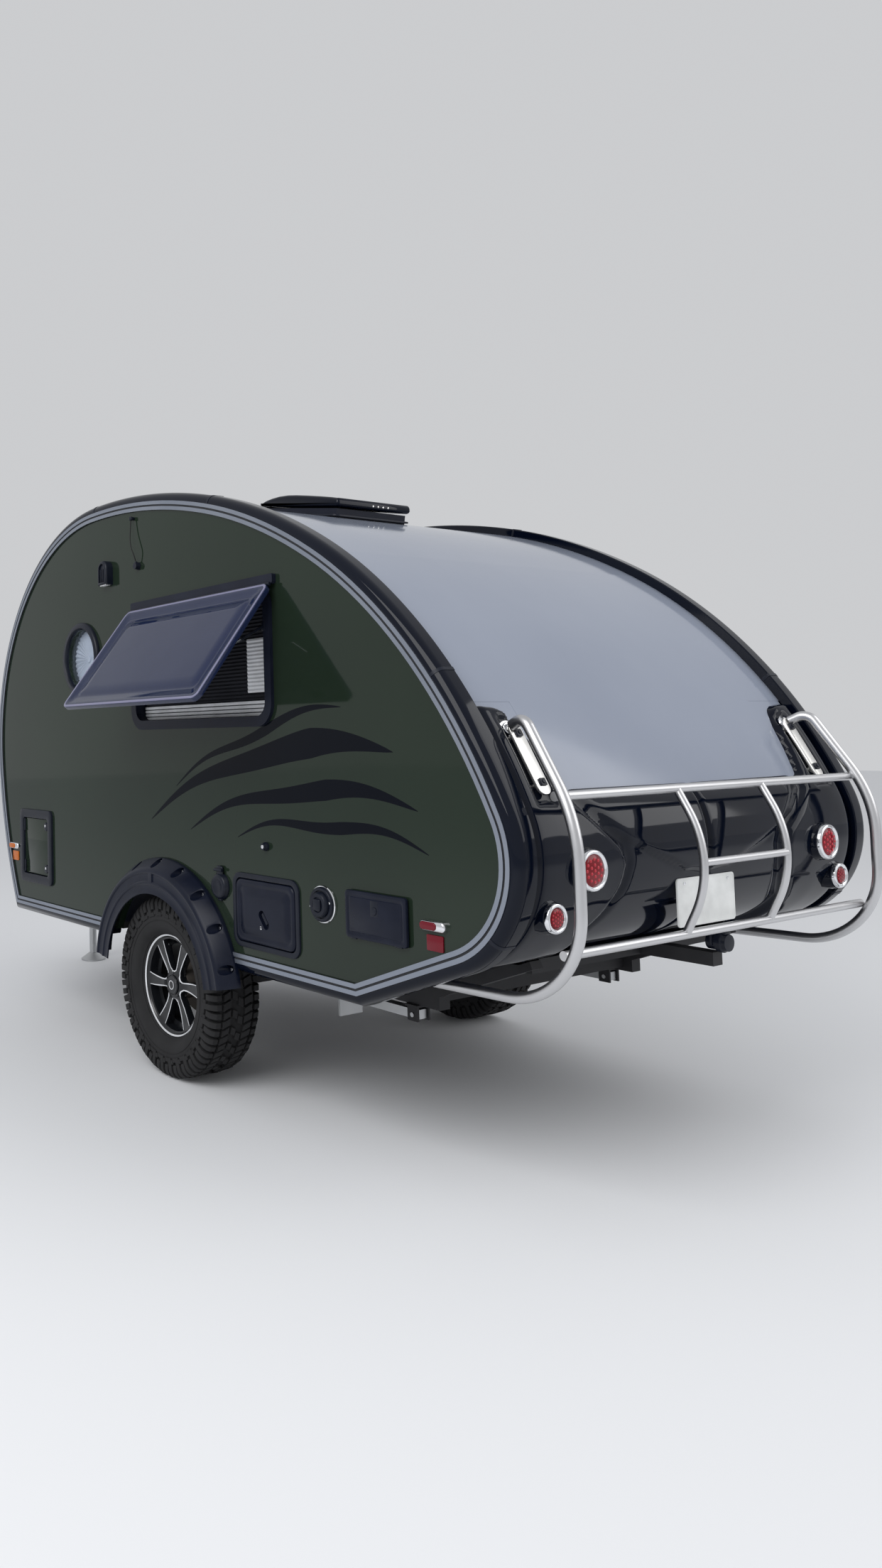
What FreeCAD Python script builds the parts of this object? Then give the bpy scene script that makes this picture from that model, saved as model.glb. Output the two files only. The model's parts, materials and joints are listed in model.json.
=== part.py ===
"""Teardrop camping trailer, as a parametric FreeCAD document in millimetres.

Every piece is modelled about the wheel axis: +X forwards, +Y to the left, +Z up from the ground.
The last step moves each piece along X by axle_x, so that the origin is the middle of the whole trailer.
"""
import FreeCAD, Part
import math
import os
from types import SimpleNamespace
from FreeCAD import Matrix, Placement, Rotation, Vector

LEFT, RIGHT = 1, -1
UP = Vector(0, 0, 1)
ACROSS = Vector(0, 1, 0)
FORWARD = Vector(1, 0, 0)

SIZES = {
    # side profile of the cabin: where the nose leaves the sill, then tangent arcs over the roof
    "sill_height": 540, "sill_front": 1461, "nose_heading": 64.8,
    "nose_radius": 2167, "nose_turn": 19.81,
    "brow_radius": 1050, "brow_turn": 37.04,
    "crown_radius": 1099, "crown_turn": 57.93,
    "roof_radius": 3409, "roof_turn": 15.9,
    "back_radius": 2596, "back_turn": 15.53,
    "tail_radius": 1990, "tail_turn": 34.38,
    "heel_radius": 326, "heel_turn": 93.08,
    # shell
    "half_width": 907, "wall": 30, "wall_joint_x": 340, "band_height": 35, "band_width": 75, "band_proud": 6,
    "trim_width": 38, "trim_proud": 9, "trim_strip": 15, "trim_groove": 3,
    "fascia_top": 1187, "pod_top": 1480, "pod_inner": 640, "pod_proud": 24, "pod_low_inner": 500,
    # running gear
    "tyre_radius": 367, "tyre_width": 235, "rim_radius": 190.5, "rim_lip": 208, "rim_face": 892,
    "wheel_width": 156, "hub_radius": 62, "spindle_radius": 22, "shaft_play": 0.05,
    "arch_radius": 450, "arch_inner": 668, "liner": 4,
    "flare_base": 523, "flare_lip": 474, "flare_opening": 380, "flare_reach": 78, "flare_skin": 7,
    # chassis
    "rail_height": 100, "rail_width": 50, "rail_spread": 520, "tongue_start": 1050, "tray_lap": 58,
    "coupler_reach": 2690, "coupler_drop": 12, "ball_radius": 25.4,
    "jack_setback": 360, "jack_radius": 28, "jack_leg_radius": 22, "jack_gap": 0.5, "foot_radius": 75,
    "stabiliser_x": -1040, "stabiliser_length": 370, "stabiliser_size": 40,
    # rear bumper
    "hoop_tube": 17, "bar_tube": 14, "upright_tube": 12.5, "hoop_half": 783, "upright_half": 222,
    "bumper_gap": 127, "upright_gap": 133, "top_bar_height": 1204, "low_bar_height": 763, "mid_bar_height": 985,
    # openings and doors
    "gap": 8, "pin_radius": 3, "door_rear": 500, "door_front": 1100, "door_bottom": 610, "door_top": 2080, "door_corner": 90,
    "window_x": -266, "window_z": 1682, "window_length": 993, "window_height": 520, "window_corner": 85,
    "frame_band": 38, "frame_proud": 14, "sash_overlap": 6, "sash_thick": 20,
    "sash_angle": 38.5, "hinge_below": 6, "hinge_proud": 20,
    "porthole_x": 700, "porthole_z": 1762, "porthole_radius": 172, "porthole_band": 30,
    "storage_x": 1223, "storage_z": 847, "storage_length": 364, "storage_height": 370,
    "cassette_x": -683, "cassette_z": 744, "cassette_length": 392, "cassette_height": 274,
    "shower_x": -1271, "shower_z": 805, "shower_length": 280, "shower_height": 154, "shower_depth": 90,
    # tail lamps
    "big_lamp_y": 623, "big_lamp_z": 985, "small_lamp_y": 750, "small_lamp_z": 857,
    "big_lens": 51, "small_lens": 32, "bezel": 10, "plate_bottom": 764,
    "grip_y": 726, "grip_top": 1412, "grip_bottom": 1180, "grip_thick": 14,
    # roof vent
    "vent_x": -60, "vent_length": 520, "vent_width": 400, "vent_base": 30, "vent_hood": 52,
    # inside, and the loose lead
    "bed_rear": -1180, "bed_length": 1150, "bed_height": 320, "mattress": 120, "board": 15,
    "lead_radius": 2.5,
}

doc = FreeCAD.newDocument("teardrop_trailer")
sheet = doc.addObject("Spreadsheet::Sheet", "sizes")
for row, (alias, value) in enumerate(SIZES.items(), 1):
    sheet.set(f"A{row}", alias)
    sheet.set(f"B{row}", str(value))
    sheet.setAlias(f"B{row}", alias)
doc.recompute()
s = SimpleNamespace(**{alias: float(sheet.get(alias)) for alias in SIZES})
NODES = []


# ---------------------------------------------------------------- drawing helpers
def outline(offset=0.0):
    """The cabin's side profile, moved outwards by offset: tangent arcs, the rear slope and the sill."""
    sill = s.sill_height - offset
    heading = s.nose_heading
    point = Vector(s.sill_front, s.sill_height, 0)
    edges = []
    for name in ("nose", "brow", "crown", "roof", "back", "tail", "heel"):
        radius = getattr(s, name + "_radius")
        turn = getattr(s, name + "_turn")
        inward = Vector(-math.sin(math.radians(heading)), math.cos(math.radians(heading)), 0)
        centre = point + inward * radius
        first = math.radians(heading - 90)
        if name == "nose":
            first = math.asin((sill - centre.y) / (radius + offset))
            front = centre + Vector(math.cos(first), math.sin(first), 0) * (radius + offset)
        last = math.radians(heading - 90 + turn)
        edges.append(Part.ArcOfCircle(Part.Circle(centre, UP, radius + offset), first, last))
        outward = Vector(math.cos(last), math.sin(last), 0)
        point = centre + outward * radius
        heading += turn
    top = point + outward * offset
    along = Vector(math.cos(math.radians(heading)), math.sin(math.radians(heading)), 0)
    foot = top + along * ((sill - top.y) / along.y)
    return edges + [Part.LineSegment(top, foot), Part.LineSegment(foot, front)]


def outline_x(height, rear=True, offset=0.0):
    """The X of the profile at a height, at the tail or at the nose."""
    line = Part.makeLine(Vector(-9000, height, 0), Vector(9000, height, 0))
    ends = [vertex.X for vertex in face_of(outline(offset)).common(line).Vertexes]
    return min(ends) if rear else max(ends)


def outline_z(x, offset=0.0):
    """The height of the roof above a place along X."""
    line = Part.makeLine(Vector(x, -9000, 0), Vector(x, 9000, 0))
    return max(vertex.Y for vertex in face_of(outline(offset)).common(line).Vertexes)


def rounded(x, z, length, height, radius):
    """A rectangle with round corners, centred on x, z, as sketch geometry."""
    left, right = x - length / 2, x + length / 2
    low, high = z - height / 2, z + height / 2
    edges = []
    corners = ((right - radius, high - radius, 0), (left + radius, high - radius, 90),
               (left + radius, low + radius, 180), (right - radius, low + radius, 270))
    for cx, cz, start in corners:
        circle = Part.Circle(Vector(cx, cz, 0), UP, radius)
        edges.append(Part.ArcOfCircle(circle, math.radians(start), math.radians(start + 90)))
    ends = [(edge.EndPoint, following.StartPoint) for edge, following in zip(edges, edges[1:] + edges[:1])]
    return edges + [Part.LineSegment(a, b) for a, b in ends]


def disc(x, z, radius):
    return [Part.Circle(Vector(x, z, 0), UP, radius)]


def polygon(*points):
    corners = [Vector(a, b, 0) for a, b in points]
    return [Part.LineSegment(a, b) for a, b in zip(corners, corners[1:] + corners[:1])]


def face_of(loop):
    return Part.Face(Part.Wire(Part.__sortEdges__([edge.toShape() for edge in loop])))


# ---------------------------------------------------------------- feature helpers
def body(node):
    made = doc.addObject("PartDesign::Body", node)
    made.Label = node
    return made


def sketch(owner, plane, level, loops):
    """A sketch on one of the body's own planes, with its level along the normal bound to the sheet."""
    drawn = owner.newObject("Sketcher::SketchObject", owner.Name + "_sketch")
    origin = [feature for feature in owner.Origin.OriginFeatures if feature.Role == plane][0]
    drawn.AttachmentSupport = [(origin, "")]
    drawn.MapMode = "FlatFace"
    drawn.setExpression("AttachmentOffset.Base.z", level)
    drawn.addGeometry([edge for loop in loops for edge in loop], False)
    return drawn


def pad(owner, drawn, length, reverse=False, both=False):
    feature = owner.newObject("PartDesign::Pad", owner.Name + "_pad")
    feature.Profile = drawn
    feature.setExpression("Length", length)
    feature.Reversed = reverse
    feature.Midplane = both
    return feature


def pocket(owner, drawn, depth=None, reverse=False):
    """A pocket of a bound depth, or right through both ways where no depth is given."""
    feature = owner.newObject("PartDesign::Pocket", owner.Name + "_pocket")
    feature.Profile = drawn
    feature.Reversed = reverse
    if depth is None:
        feature.Type = 1
        feature.Midplane = True
    else:
        feature.setExpression("Length", depth)
    return feature


def slab(node, side, near, depth, *loops):
    """A plate on one side of the trailer, from side * near outwards by depth, cut by its inner loops."""
    made = body(node)
    drawn = sketch(made, "XZ_Plane", f"{-side} * ({near})", loops)
    pad(made, drawn, depth, reverse=side > 0)
    return made


def feature(node, shape):
    """A piece whose shape comes from Part's own functions."""
    made = doc.addObject("Part::Feature", node)
    made.Shape = shape
    return made


def pair_of(made):
    """Both sides of a piece that is the same left and right, as one node of two solids."""
    doc.recompute()
    other = doc.addObject("Part::Mirroring", made.Name + "_right")
    other.Source = made
    other.Normal = ACROSS
    both = doc.addObject("Part::Compound", made.Name + "_pair")
    both.Links = [made, other]
    return both


def finish(made, node):
    """Names a finished piece and moves it from the wheel axis to the trailer's own origin."""
    made.Label = node
    made.setExpression("Placement.Base.x", "sizes.axle_x")
    NODES.append(made)
    return made


def block(x, y, z, centre=(0.5, 0.5, 0.5), at=(0, 0, 0)):
    """A box of three sizes, with the given share of each size before the point it stands at."""
    corner = Vector(at[0] - x * centre[0], at[1] - y * centre[1], at[2] - z * centre[2])
    return Part.makeBox(x, y, z, corner)


def rod(start, end, radius):
    start, end = Vector(*start), Vector(*end)
    return Part.makeCylinder(radius, start.distanceToPoint(end), start, end - start)


def tube_path(points, radii):
    """Straight runs joined by tangent arcs, one radius for each inner point."""
    corners = [Vector(*point) for point in points]
    edges = []
    start = corners[0]
    for before, corner, after, radius in zip(corners, corners[1:], corners[2:], radii):
        back = (before - corner).normalize()
        ahead = (after - corner).normalize()
        half = back.getAngle(ahead) / 2
        reach = radius / math.tan(half)
        middle = corner + (back + ahead).normalize() * (radius / math.sin(half) - radius)
        first, last = corner + back * reach, corner + ahead * reach
        edges.append(Part.LineSegment(start, first).toShape())
        edges.append(Part.Arc(first, middle, last).toShape())
        start = last
    edges.append(Part.LineSegment(start, corners[-1]).toShape())
    return Part.Wire(edges)


def tube(points, radii, radius):
    path = tube_path(points, radii)
    start = Vector(*points[0])
    ring = Part.Wire(Part.makeCircle(radius, start, Vector(*points[1]) - start))
    return path.makePipeShell([ring], True, False)


def cabin_solid(offset, half):
    """The cabin's profile as one block, moved outwards by offset, for pieces that seat on it."""
    face = face_of(outline(offset))
    face.rotate(Vector(0, 0, 0), FORWARD, 90)
    solid = face.extrude(Vector(0, -2 * half, 0))
    solid.translate(Vector(0, half, 0))
    return solid


def mirrored(shape):
    """The same shape on the other side of the trailer."""
    return shape.mirror(Vector(0, 0, 0), ACROSS)


def both_sides(shape):
    return Part.makeCompound([shape, mirrored(shape)])


def revolved(profile, start=0, sweep=360):
    """A solid of revolution about the wheel axis: the profile holds y, radius pairs."""
    wire = Part.makePolygon([Vector(radius, y, 0) for y, radius in profile + profile[:1]])
    solid = Part.Face(wire).revolve(Vector(0, 0, 0), Vector(0, -1, 0), sweep)
    solid.rotate(Vector(0, 0, 0), Vector(0, -1, 0), start)
    solid.translate(Vector(0, 0, s.tyre_radius))
    return solid


# ---------------------------------------------------------------- reach of the whole trailer
tail_x = outline_x(s.mid_bar_height)
hoop_x = tail_x - s.bumper_gap
axle_x = -(s.coupler_reach + hoop_x - s.hoop_tube) / 2
last_row = len(SIZES) + 1
sheet.set(f"A{last_row}", "axle_x")
sheet.set(f"B{last_row}", str(axle_x))
sheet.setAlias(f"B{last_row}", "axle_x")
doc.recompute()

shell_half = s.half_width - s.wall
axle_z = s.tyre_radius


# ---------------------------------------------------------------- cabin walls
window_hole = rounded(s.window_x, s.window_z, s.window_length - 60, s.window_height - 60, s.window_corner - 24)
storage_hole = rounded(s.storage_x, s.storage_z, s.storage_length - 64, s.storage_height - 64, 20)
cassette_hole = rounded(s.cassette_x, s.cassette_z, s.cassette_length - 24, s.cassette_height - 24, 34)
shower_hole = rounded(s.shower_x, s.shower_z, s.shower_length - 24, s.shower_height - 24, 10)
door_x = (s.door_rear + s.door_front) / 2
door_z = (s.door_bottom + s.door_top) / 2
door_length = s.door_front - s.door_rear
door_height = s.door_top - s.door_bottom
door_hole = rounded(door_x, door_z, door_length, door_height, s.door_corner)
porthole_hole = disc(s.porthole_x, s.porthole_z, s.porthole_radius - s.porthole_band)
arch_hole = disc(0, axle_z, s.arch_radius)

for side, name, holes in (
        (LEFT, "left", [window_hole, porthole_hole, storage_hole, cassette_hole, shower_hole]),
        (RIGHT, "right", [window_hole, door_hole])):
    wall = slab(name + "_wall", side, "sizes.half_width - sizes.wall", "sizes.wall", outline(-3), *holes)
    pocket(wall, sketch(wall, "XZ_Plane", f"{-side} * sizes.half_width", [arch_hole]))
    if side > 0:
        finish(wall, "left_wall")
doc.recompute()
# the right wall is two panels that meet between the window and the door
for name, share in (("right_wall_rear", 1), ("right_wall_front", 0)):
    half = block(4000, 4000, 8000, (share, 0.5, 0.5), (s.wall_joint_x, 0, 0))
    finish(feature(name, wall.Shape.common(half)), name)

flare_cut = disc(0, axle_z, s.flare_base)
band = slab("edge_band", LEFT, "sizes.half_width + sizes.band_proud - sizes.band_width", "sizes.band_width",
            outline(s.band_height), outline(0))
pocket(band, sketch(band, "XZ_Plane", "-sizes.half_width", [flare_cut]))
finish(pair_of(band), "edge_bands")

trim = slab("trim_rail", LEFT, "sizes.half_width", "sizes.trim_proud", outline(0), outline(-s.trim_width))
groove = [outline(-s.trim_strip), outline(s.trim_strip - s.trim_width)]
pocket(trim, sketch(trim, "XZ_Plane", "-sizes.half_width - sizes.trim_proud", groove), "sizes.trim_groove",
       reverse=True)
pocket(trim, sketch(trim, "XZ_Plane", "-sizes.half_width", [flare_cut]))
finish(pair_of(trim), "trim_rails")

# ---------------------------------------------------------------- shell between the walls
shell = body("shell_ring")
pad(shell, sketch(shell, "XZ_Plane", "0", [outline(0), outline(-s.wall)]),
    "2 * (sizes.half_width - sizes.wall)", both=True)
doc.recompute()
ring = shell.Shape
far = 4000
floor_zone = block(2 * far, 2 * far, far, (0.5, 0.5, 1), (0, 0, s.sill_height + s.wall))
rear_zone = block(far, 2 * far, s.fascia_top, (1, 0.5, 0), (-far / 4, 0, 0))
pod_zone = block(far, shell_half - s.pod_inner, s.pod_top, (1, 0, 0), (-far / 4, s.pod_inner, 0))
rear_zone = rear_zone.fuse([pod_zone, mirrored(pod_zone)])
arches = both_sides(rod((0, s.arch_inner, axle_z), (0, shell_half, axle_z), s.arch_radius))
floor = ring.common(floor_zone).cut(arches)
finish(feature("floor", floor), "floor")
finish(feature("roof_shell", ring.cut(floor_zone).cut(rear_zone)), "roof_shell")

# raised lamp pods each side of the tail, following the profile
pod_face = face_of(outline(s.pod_proud)).cut(face_of(outline(0)))
pod_face.rotate(Vector(0, 0, 0), FORWARD, 90)
lamp_pods = []
for inner, low, high in ((s.pod_low_inner, s.sill_height + 110, s.fascia_top - 60),
                         (s.pod_inner, s.fascia_top - 60, s.pod_top)):
    strip = pod_face.extrude(Vector(0, s.half_width - s.band_width - 1 - inner, 0))
    strip.translate(Vector(0, inner, 0))
    lamp_pods.append(strip.common(block(far, 2 * far, high - low, (1, 0.5, 0), (-far / 4, 0, low))))
lamp_pod = lamp_pods[0].fuse(lamp_pods[1]).removeSplitter()
fascia = ring.cut(floor_zone).common(rear_zone).fuse([lamp_pod, mirrored(lamp_pod)]).removeSplitter()
finish(feature("rear_fascia", fascia), "rear_fascia")

# wheel housings inside the cabin
liner = rod((0, s.arch_inner, axle_z), (0, shell_half, axle_z), s.arch_radius + s.liner)
liner = liner.cut(rod((0, s.arch_inner + s.liner, axle_z), (0, shell_half, axle_z), s.arch_radius))
liner = liner.common(block(2 * far, 2 * far, far, (0.5, 0.5, 0), (0, 0, s.sill_height + s.wall)))
finish(feature("wheel_housings", both_sides(liner)), "wheel_housings")

# ---------------------------------------------------------------- flares over the wheels
flare_profile = [
    (s.half_width, s.flare_base), (s.half_width + 16, s.flare_base - 1),
    (s.half_width + s.flare_reach - 8, s.flare_lip + 12), (s.half_width + s.flare_reach, s.flare_lip + 2),
    (s.half_width + s.flare_reach, s.flare_opening),
    (s.half_width + s.flare_reach - s.flare_skin, s.flare_opening),
    (s.half_width + s.flare_reach - s.flare_skin, s.flare_lip - 3),
    (s.half_width + 12, s.flare_base - s.flare_skin - 3), (s.half_width, s.flare_base - s.flare_skin - 3)]
flare = revolved(flare_profile, 9, 162)
finish(feature("wheel_flares", both_sides(flare)), "wheel_flares")

# ---------------------------------------------------------------- wheels
tyre_middle = s.rim_face - s.wheel_width / 2
half_tyre = s.tyre_width / 2
bead = s.rim_radius + 0.5
tyre_profile = [
    (tyre_middle - s.wheel_width / 2 + 14, bead), (tyre_middle - half_tyre + 4, bead + 45),
    (tyre_middle - half_tyre, bead + 85), (tyre_middle - half_tyre + 8, s.tyre_radius - 24),
    (tyre_middle - half_tyre + 26, s.tyre_radius - 3), (tyre_middle, s.tyre_radius),
    (tyre_middle + half_tyre - 26, s.tyre_radius - 3), (tyre_middle + half_tyre - 8, s.tyre_radius - 24),
    (tyre_middle + half_tyre, bead + 85), (tyre_middle + half_tyre - 4, bead + 45),
    (tyre_middle + s.wheel_width / 2 - 14, bead), (tyre_middle + 60, bead), (tyre_middle + 95, bead + 60),
    (tyre_middle + 88, s.tyre_radius - 30), (tyre_middle - 88, s.tyre_radius - 30),
    (tyre_middle - 95, bead + 60), (tyre_middle - 60, bead)]
tyre = revolved(tyre_profile)

rim_inner = s.rim_face - s.wheel_width
disc_back, disc_front = s.rim_face - 46, s.rim_face - 18
rim_profile = [
    (rim_inner, s.rim_lip), (rim_inner, s.rim_radius - 8), (rim_inner + 60, s.rim_radius - 20),
    (disc_back - 12, s.rim_radius - 20), (disc_back, s.rim_radius - 34), (disc_back, s.spindle_radius + 20),
    (disc_front, s.spindle_radius + 20), (disc_front, 60), (s.rim_face - 24, s.rim_radius - 26),
    (s.rim_face - 8, s.rim_radius + 4), (s.rim_face, s.rim_lip - 6), (s.rim_face, s.rim_lip),
    (s.rim_face - 8, s.rim_lip), (s.rim_face - 12, s.rim_radius), (rim_inner + 12, s.rim_radius),
    (rim_inner + 8, s.rim_lip)]
rim = revolved(rim_profile)
window_edges = polygon((-14, 64), (14, 64), (66, s.rim_radius - 30), (-66, s.rim_radius - 30))
rim_window = face_of(window_edges).extrude(Vector(0, 0, s.wheel_width))
rim_window = rim_window.makeFillet(9, [edge for edge in rim_window.Edges
                                       if abs(edge.tangentAt(edge.FirstParameter).z) > 0.99])
rim_window.rotate(Vector(0, 0, 0), FORWARD, 90)
rim_window.translate(Vector(0, s.rim_face, axle_z))
for spoke in range(6):
    cutter = rim_window.copy()
    cutter.rotate(Vector(0, 0, axle_z), ACROSS, 60 * spoke)
    rim = rim.cut(cutter)
hub_cap = rod((0, disc_back, axle_z), (0, s.rim_face - 4, axle_z), s.spindle_radius + 20)
hub_cap = hub_cap.makeFillet(5, [hub_cap.Edges[0]])
drum_face = disc_back
drum = rod((0, s.arch_inner + 70, axle_z), (0, drum_face, axle_z), s.hub_radius)
drum = drum.fuse(rod((0, s.arch_inner + 50, axle_z), (0, s.arch_inner + 95, axle_z), 2 * s.hub_radius))
bore = rod((0, s.arch_inner, axle_z), (0, drum_face - 20, axle_z), s.spindle_radius + s.shaft_play)
drum = drum.cut(bore)
rim = rim.fuse(hub_cap).removeSplitter()
tyre = tyre.cut(rim)
for side, name in ((LEFT, "left"), (RIGHT, "right")):
    for node, shape in (("tyre", tyre), ("rim", rim), ("brake_drum", drum)):
        finish(feature(f"{name}_{node}", shape if side > 0 else mirrored(shape)), f"{name}_{node}")

# ---------------------------------------------------------------- chassis
rail_z = s.sill_height - s.rail_height / 2
slope_foot = outline()[-2].EndPoint
slope_top = outline()[-2].StartPoint
rail_rear = slope_foot.x
spread = s.rail_spread
rails = block(s.tongue_start - rail_rear, s.rail_width, s.rail_height, (0, 0.5, 0.5), (rail_rear, spread, rail_z))
tongue_end = s.coupler_reach - 210
tongue_run = Vector(tongue_end - s.tongue_start, 42 - spread, 0)
tongue = block(tongue_run.Length, s.rail_width, s.rail_height, (0, 0.5, 0.5))
tongue.rotate(Vector(0, 0, 0), UP, math.degrees(math.atan2(tongue_run.y, tongue_run.x)))
tongue.translate(Vector(s.tongue_start, spread, rail_z))
slope_run = slope_top - slope_foot
tail_rail = block(slope_run.Length * 0.86 + 20, s.rail_width, 50, (1, 0.5, 1), (20, 0, 0))
tail_rail.rotate(Vector(0, 0, 0), ACROSS, math.degrees(math.atan2(slope_run.y, -slope_run.x)))
tail_rail.translate(Vector(slope_foot.x, spread, slope_foot.y))
tail_rail = tail_rail.common(block(4000, 400, 2000, (1, 0.5, 0), (rail_rear + 20, spread, 0)))
frame_parts = [rails, tongue, tail_rail]
frame_parts += [mirrored(shape) for shape in frame_parts]
for x in (rail_rear + 60, -330, 330, s.tongue_start - 60):
    frame_parts.append(block(40, 2 * spread, 70, (0.5, 0.5, 0.5), (x, 0, rail_z)))
rear_beam_x = slope_foot.x + slope_run.x * 0.8
rear_beam_z = slope_foot.y + slope_run.y * 0.8 - 34
frame_parts.append(block(44, 2 * spread, 44, (0.5, 0.5, 0.5), (rear_beam_x, 0, rear_beam_z)))
frame_parts.append(block(90, 130, s.rail_height, (0.5, 0.5, 0.5), (tongue_end - 30, 0, rail_z)))
for side in (LEFT, RIGHT):
    frame_parts.append(block(120, 70, rail_z - s.rail_height / 2 - axle_z - 38, (0.5, 0.5, 0),
                             (0, side * spread, axle_z + 38)))
receiver_z = rear_beam_z + 22
frame_parts.append(block(rear_beam_x + 1802, 50, 44, (1, 0.5, 1), (rear_beam_x, -50, receiver_z)))
chassis = frame_parts[0].fuse(frame_parts[1:]).removeSplitter()

# folding corner legs under the rear of the rails
leg_z = s.sill_height - s.rail_height - 36
lug = block(50, 8, 60, (0.5, 0, 0.5), (s.stabiliser_x, spread + 22, leg_z + 8))
lugs = [lug, lug.translated(Vector(0, -52, 0))]
lug_plate = block(60, 76, 8, (0.5, 0.5, 1), (s.stabiliser_x, spread, s.sill_height - s.rail_height))
lugs = lug_plate.fuse(lugs)
pin_hole = rod((s.stabiliser_x, spread - 60, leg_z), (s.stabiliser_x, spread + 60, leg_z), 8 + s.shaft_play)
lugs = lugs.cut(pin_hole)
lugs = lugs.cut(rails)
chassis = chassis.fuse([lugs, mirrored(lugs)]).removeSplitter()

leg = block(s.stabiliser_length, s.stabiliser_size, s.stabiliser_size - 8, (0, 0.5, 0.5),
            (s.stabiliser_x - 16, spread, leg_z))
foot = block(10, 110, 90, (0, 0.5, 0.5), (s.stabiliser_x + s.stabiliser_length - 16, spread, leg_z - 28))
leg = leg.fuse([foot, rod((s.stabiliser_x, spread - 34, leg_z), (s.stabiliser_x, spread + 34, leg_z), 8)])
for side, name in ((LEFT, "left"), (RIGHT, "right")):
    finish(feature(name + "_stabiliser", leg if side > 0 else mirrored(leg)), name + "_stabiliser")

beam = block(76, 2 * (s.arch_inner - 40), 76, (0.5, 0.5, 0.5), (0, 0, axle_z))
spindle = rod((0, s.arch_inner - 60, axle_z), (0, drum_face - 25, axle_z), s.spindle_radius)
finish(feature("axle_beam", beam.fuse([spindle, mirrored(spindle)]).removeSplitter()), "axle_beam")

# coupler with its ball socket, and the jack on the tongue
ball_z = rail_z - s.coupler_drop
ball_x = s.coupler_reach - 42
coupler = block(250, 84, 56, (0, 0.5, 0.5), (s.coupler_reach - 292, 0, rail_z + 78))
head = rod((ball_x, 0, ball_z - 22), (ball_x, 0, rail_z + 106), 42)
neck = block(60, 84, 90, (0, 0.5, 0), (s.coupler_reach - 292, 0, rail_z + 50))
socket = Part.makeSphere(s.ball_radius + 0.5, Vector(ball_x, 0, ball_z))
mouth = rod((ball_x, 0, ball_z - 60), (ball_x, 0, ball_z), s.ball_radius + 0.5)
coupler = coupler.fuse([head, neck]).cut(socket.fuse(mouth))
finish(feature("coupler", coupler), "coupler")

jack_x = s.coupler_reach - s.jack_setback
jack_low = rail_z - s.rail_height / 2 - 30
jack_top = rail_z + 420
jack = rod((jack_x, 0, jack_low), (jack_x, 0, jack_top), s.jack_radius)
jack = jack.cut(rod((jack_x, 0, jack_low - 1), (jack_x, 0, jack_top - 12), s.jack_leg_radius + s.jack_gap))
plate = block(110, 190, 10, (0.5, 0.5, 0), (jack_x, 0, rail_z + s.rail_height / 2))
plate = plate.cut(rod((jack_x, 0, 0), (jack_x, 0, 2000), s.jack_radius - 1))
crank = rod((jack_x, 0, jack_top - 6), (jack_x, 0, jack_top + 30), 8)
crank = crank.fuse([rod((jack_x, 0, jack_top + 26), (jack_x, 150, jack_top + 26), 7),
                    rod((jack_x, 146, jack_top + 26), (jack_x, 146, jack_top + 96), 11)])
finish(feature("jack_tube", jack.fuse([plate, crank]).removeSplitter()), "jack_tube")
jack_leg = rod((jack_x, 0, 8), (jack_x, 0, jack_low + 130), s.jack_leg_radius)
jack_leg = jack_leg.fuse(Part.makeCone(s.foot_radius, s.jack_leg_radius + 6, 34, Vector(jack_x, 0, 8), UP))
jack_leg = jack_leg.fuse(rod((jack_x, 0, 0), (jack_x, 0, 8), s.foot_radius))
finish(feature("jack_leg", jack_leg.removeSplitter()), "jack_leg")

bottle_x = s.sill_front + 330
bottle = rod((bottle_x, 0, rail_z + 66), (bottle_x, 0, rail_z + 360), 150)
bottle = bottle.makeFillet(60, [edge for edge in bottle.Edges if edge.Closed])
bottle = bottle.fuse(rod((bottle_x, 0, rail_z + 50), (bottle_x, 0, rail_z + 90), 110))
bottle = bottle.fuse(rod((bottle_x, 0, rail_z + 350), (bottle_x, 0, rail_z + 400), 34))
finish(feature("gas_bottle", bottle.removeSplitter()), "gas_bottle")
tray_front = bottle_x + 360
tray_half = round(spread + (tray_front - s.tongue_start) * tongue_run.y / tongue_run.x + s.tray_lap)
tongue_tray = block(700, 2 * tray_half, 6, (1, 0.5, 0), (tray_front, 0, rail_z + 50))
tongue_tray = tongue_tray.cut(rod((bottle_x, 0, 0), (bottle_x, 0, 2000), 112))
chassis = chassis.fuse(tongue_tray).removeSplitter().cut([floor, fascia])
finish(feature("chassis_frame", chassis), "chassis_frame")
battery = block(200, 380, 230, (0.5, 0.5, 0), (bottle_x + 258, 0, rail_z + 56))
battery = battery.makeFillet(14, [edge for edge in battery.Edges if edge.BoundBox.ZMin > rail_z + 60])
finish(feature("battery_box", battery), "battery_box")

# ---------------------------------------------------------------- windows
pivot_y = s.half_width + s.hinge_proud
hinge_z = s.window_z + s.window_height / 2 - s.hinge_below
sash_length = s.window_length + 2 * s.sash_overlap
sash_drop = hinge_z - (s.window_z - s.window_height / 2) + 14


def swung(shape):
    """Swings a shape drawn hanging from the window's hinge line out to the propped angle."""
    shape.rotate(Vector(0, pivot_y, hinge_z), FORWARD, s.sash_angle)
    return shape


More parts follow.
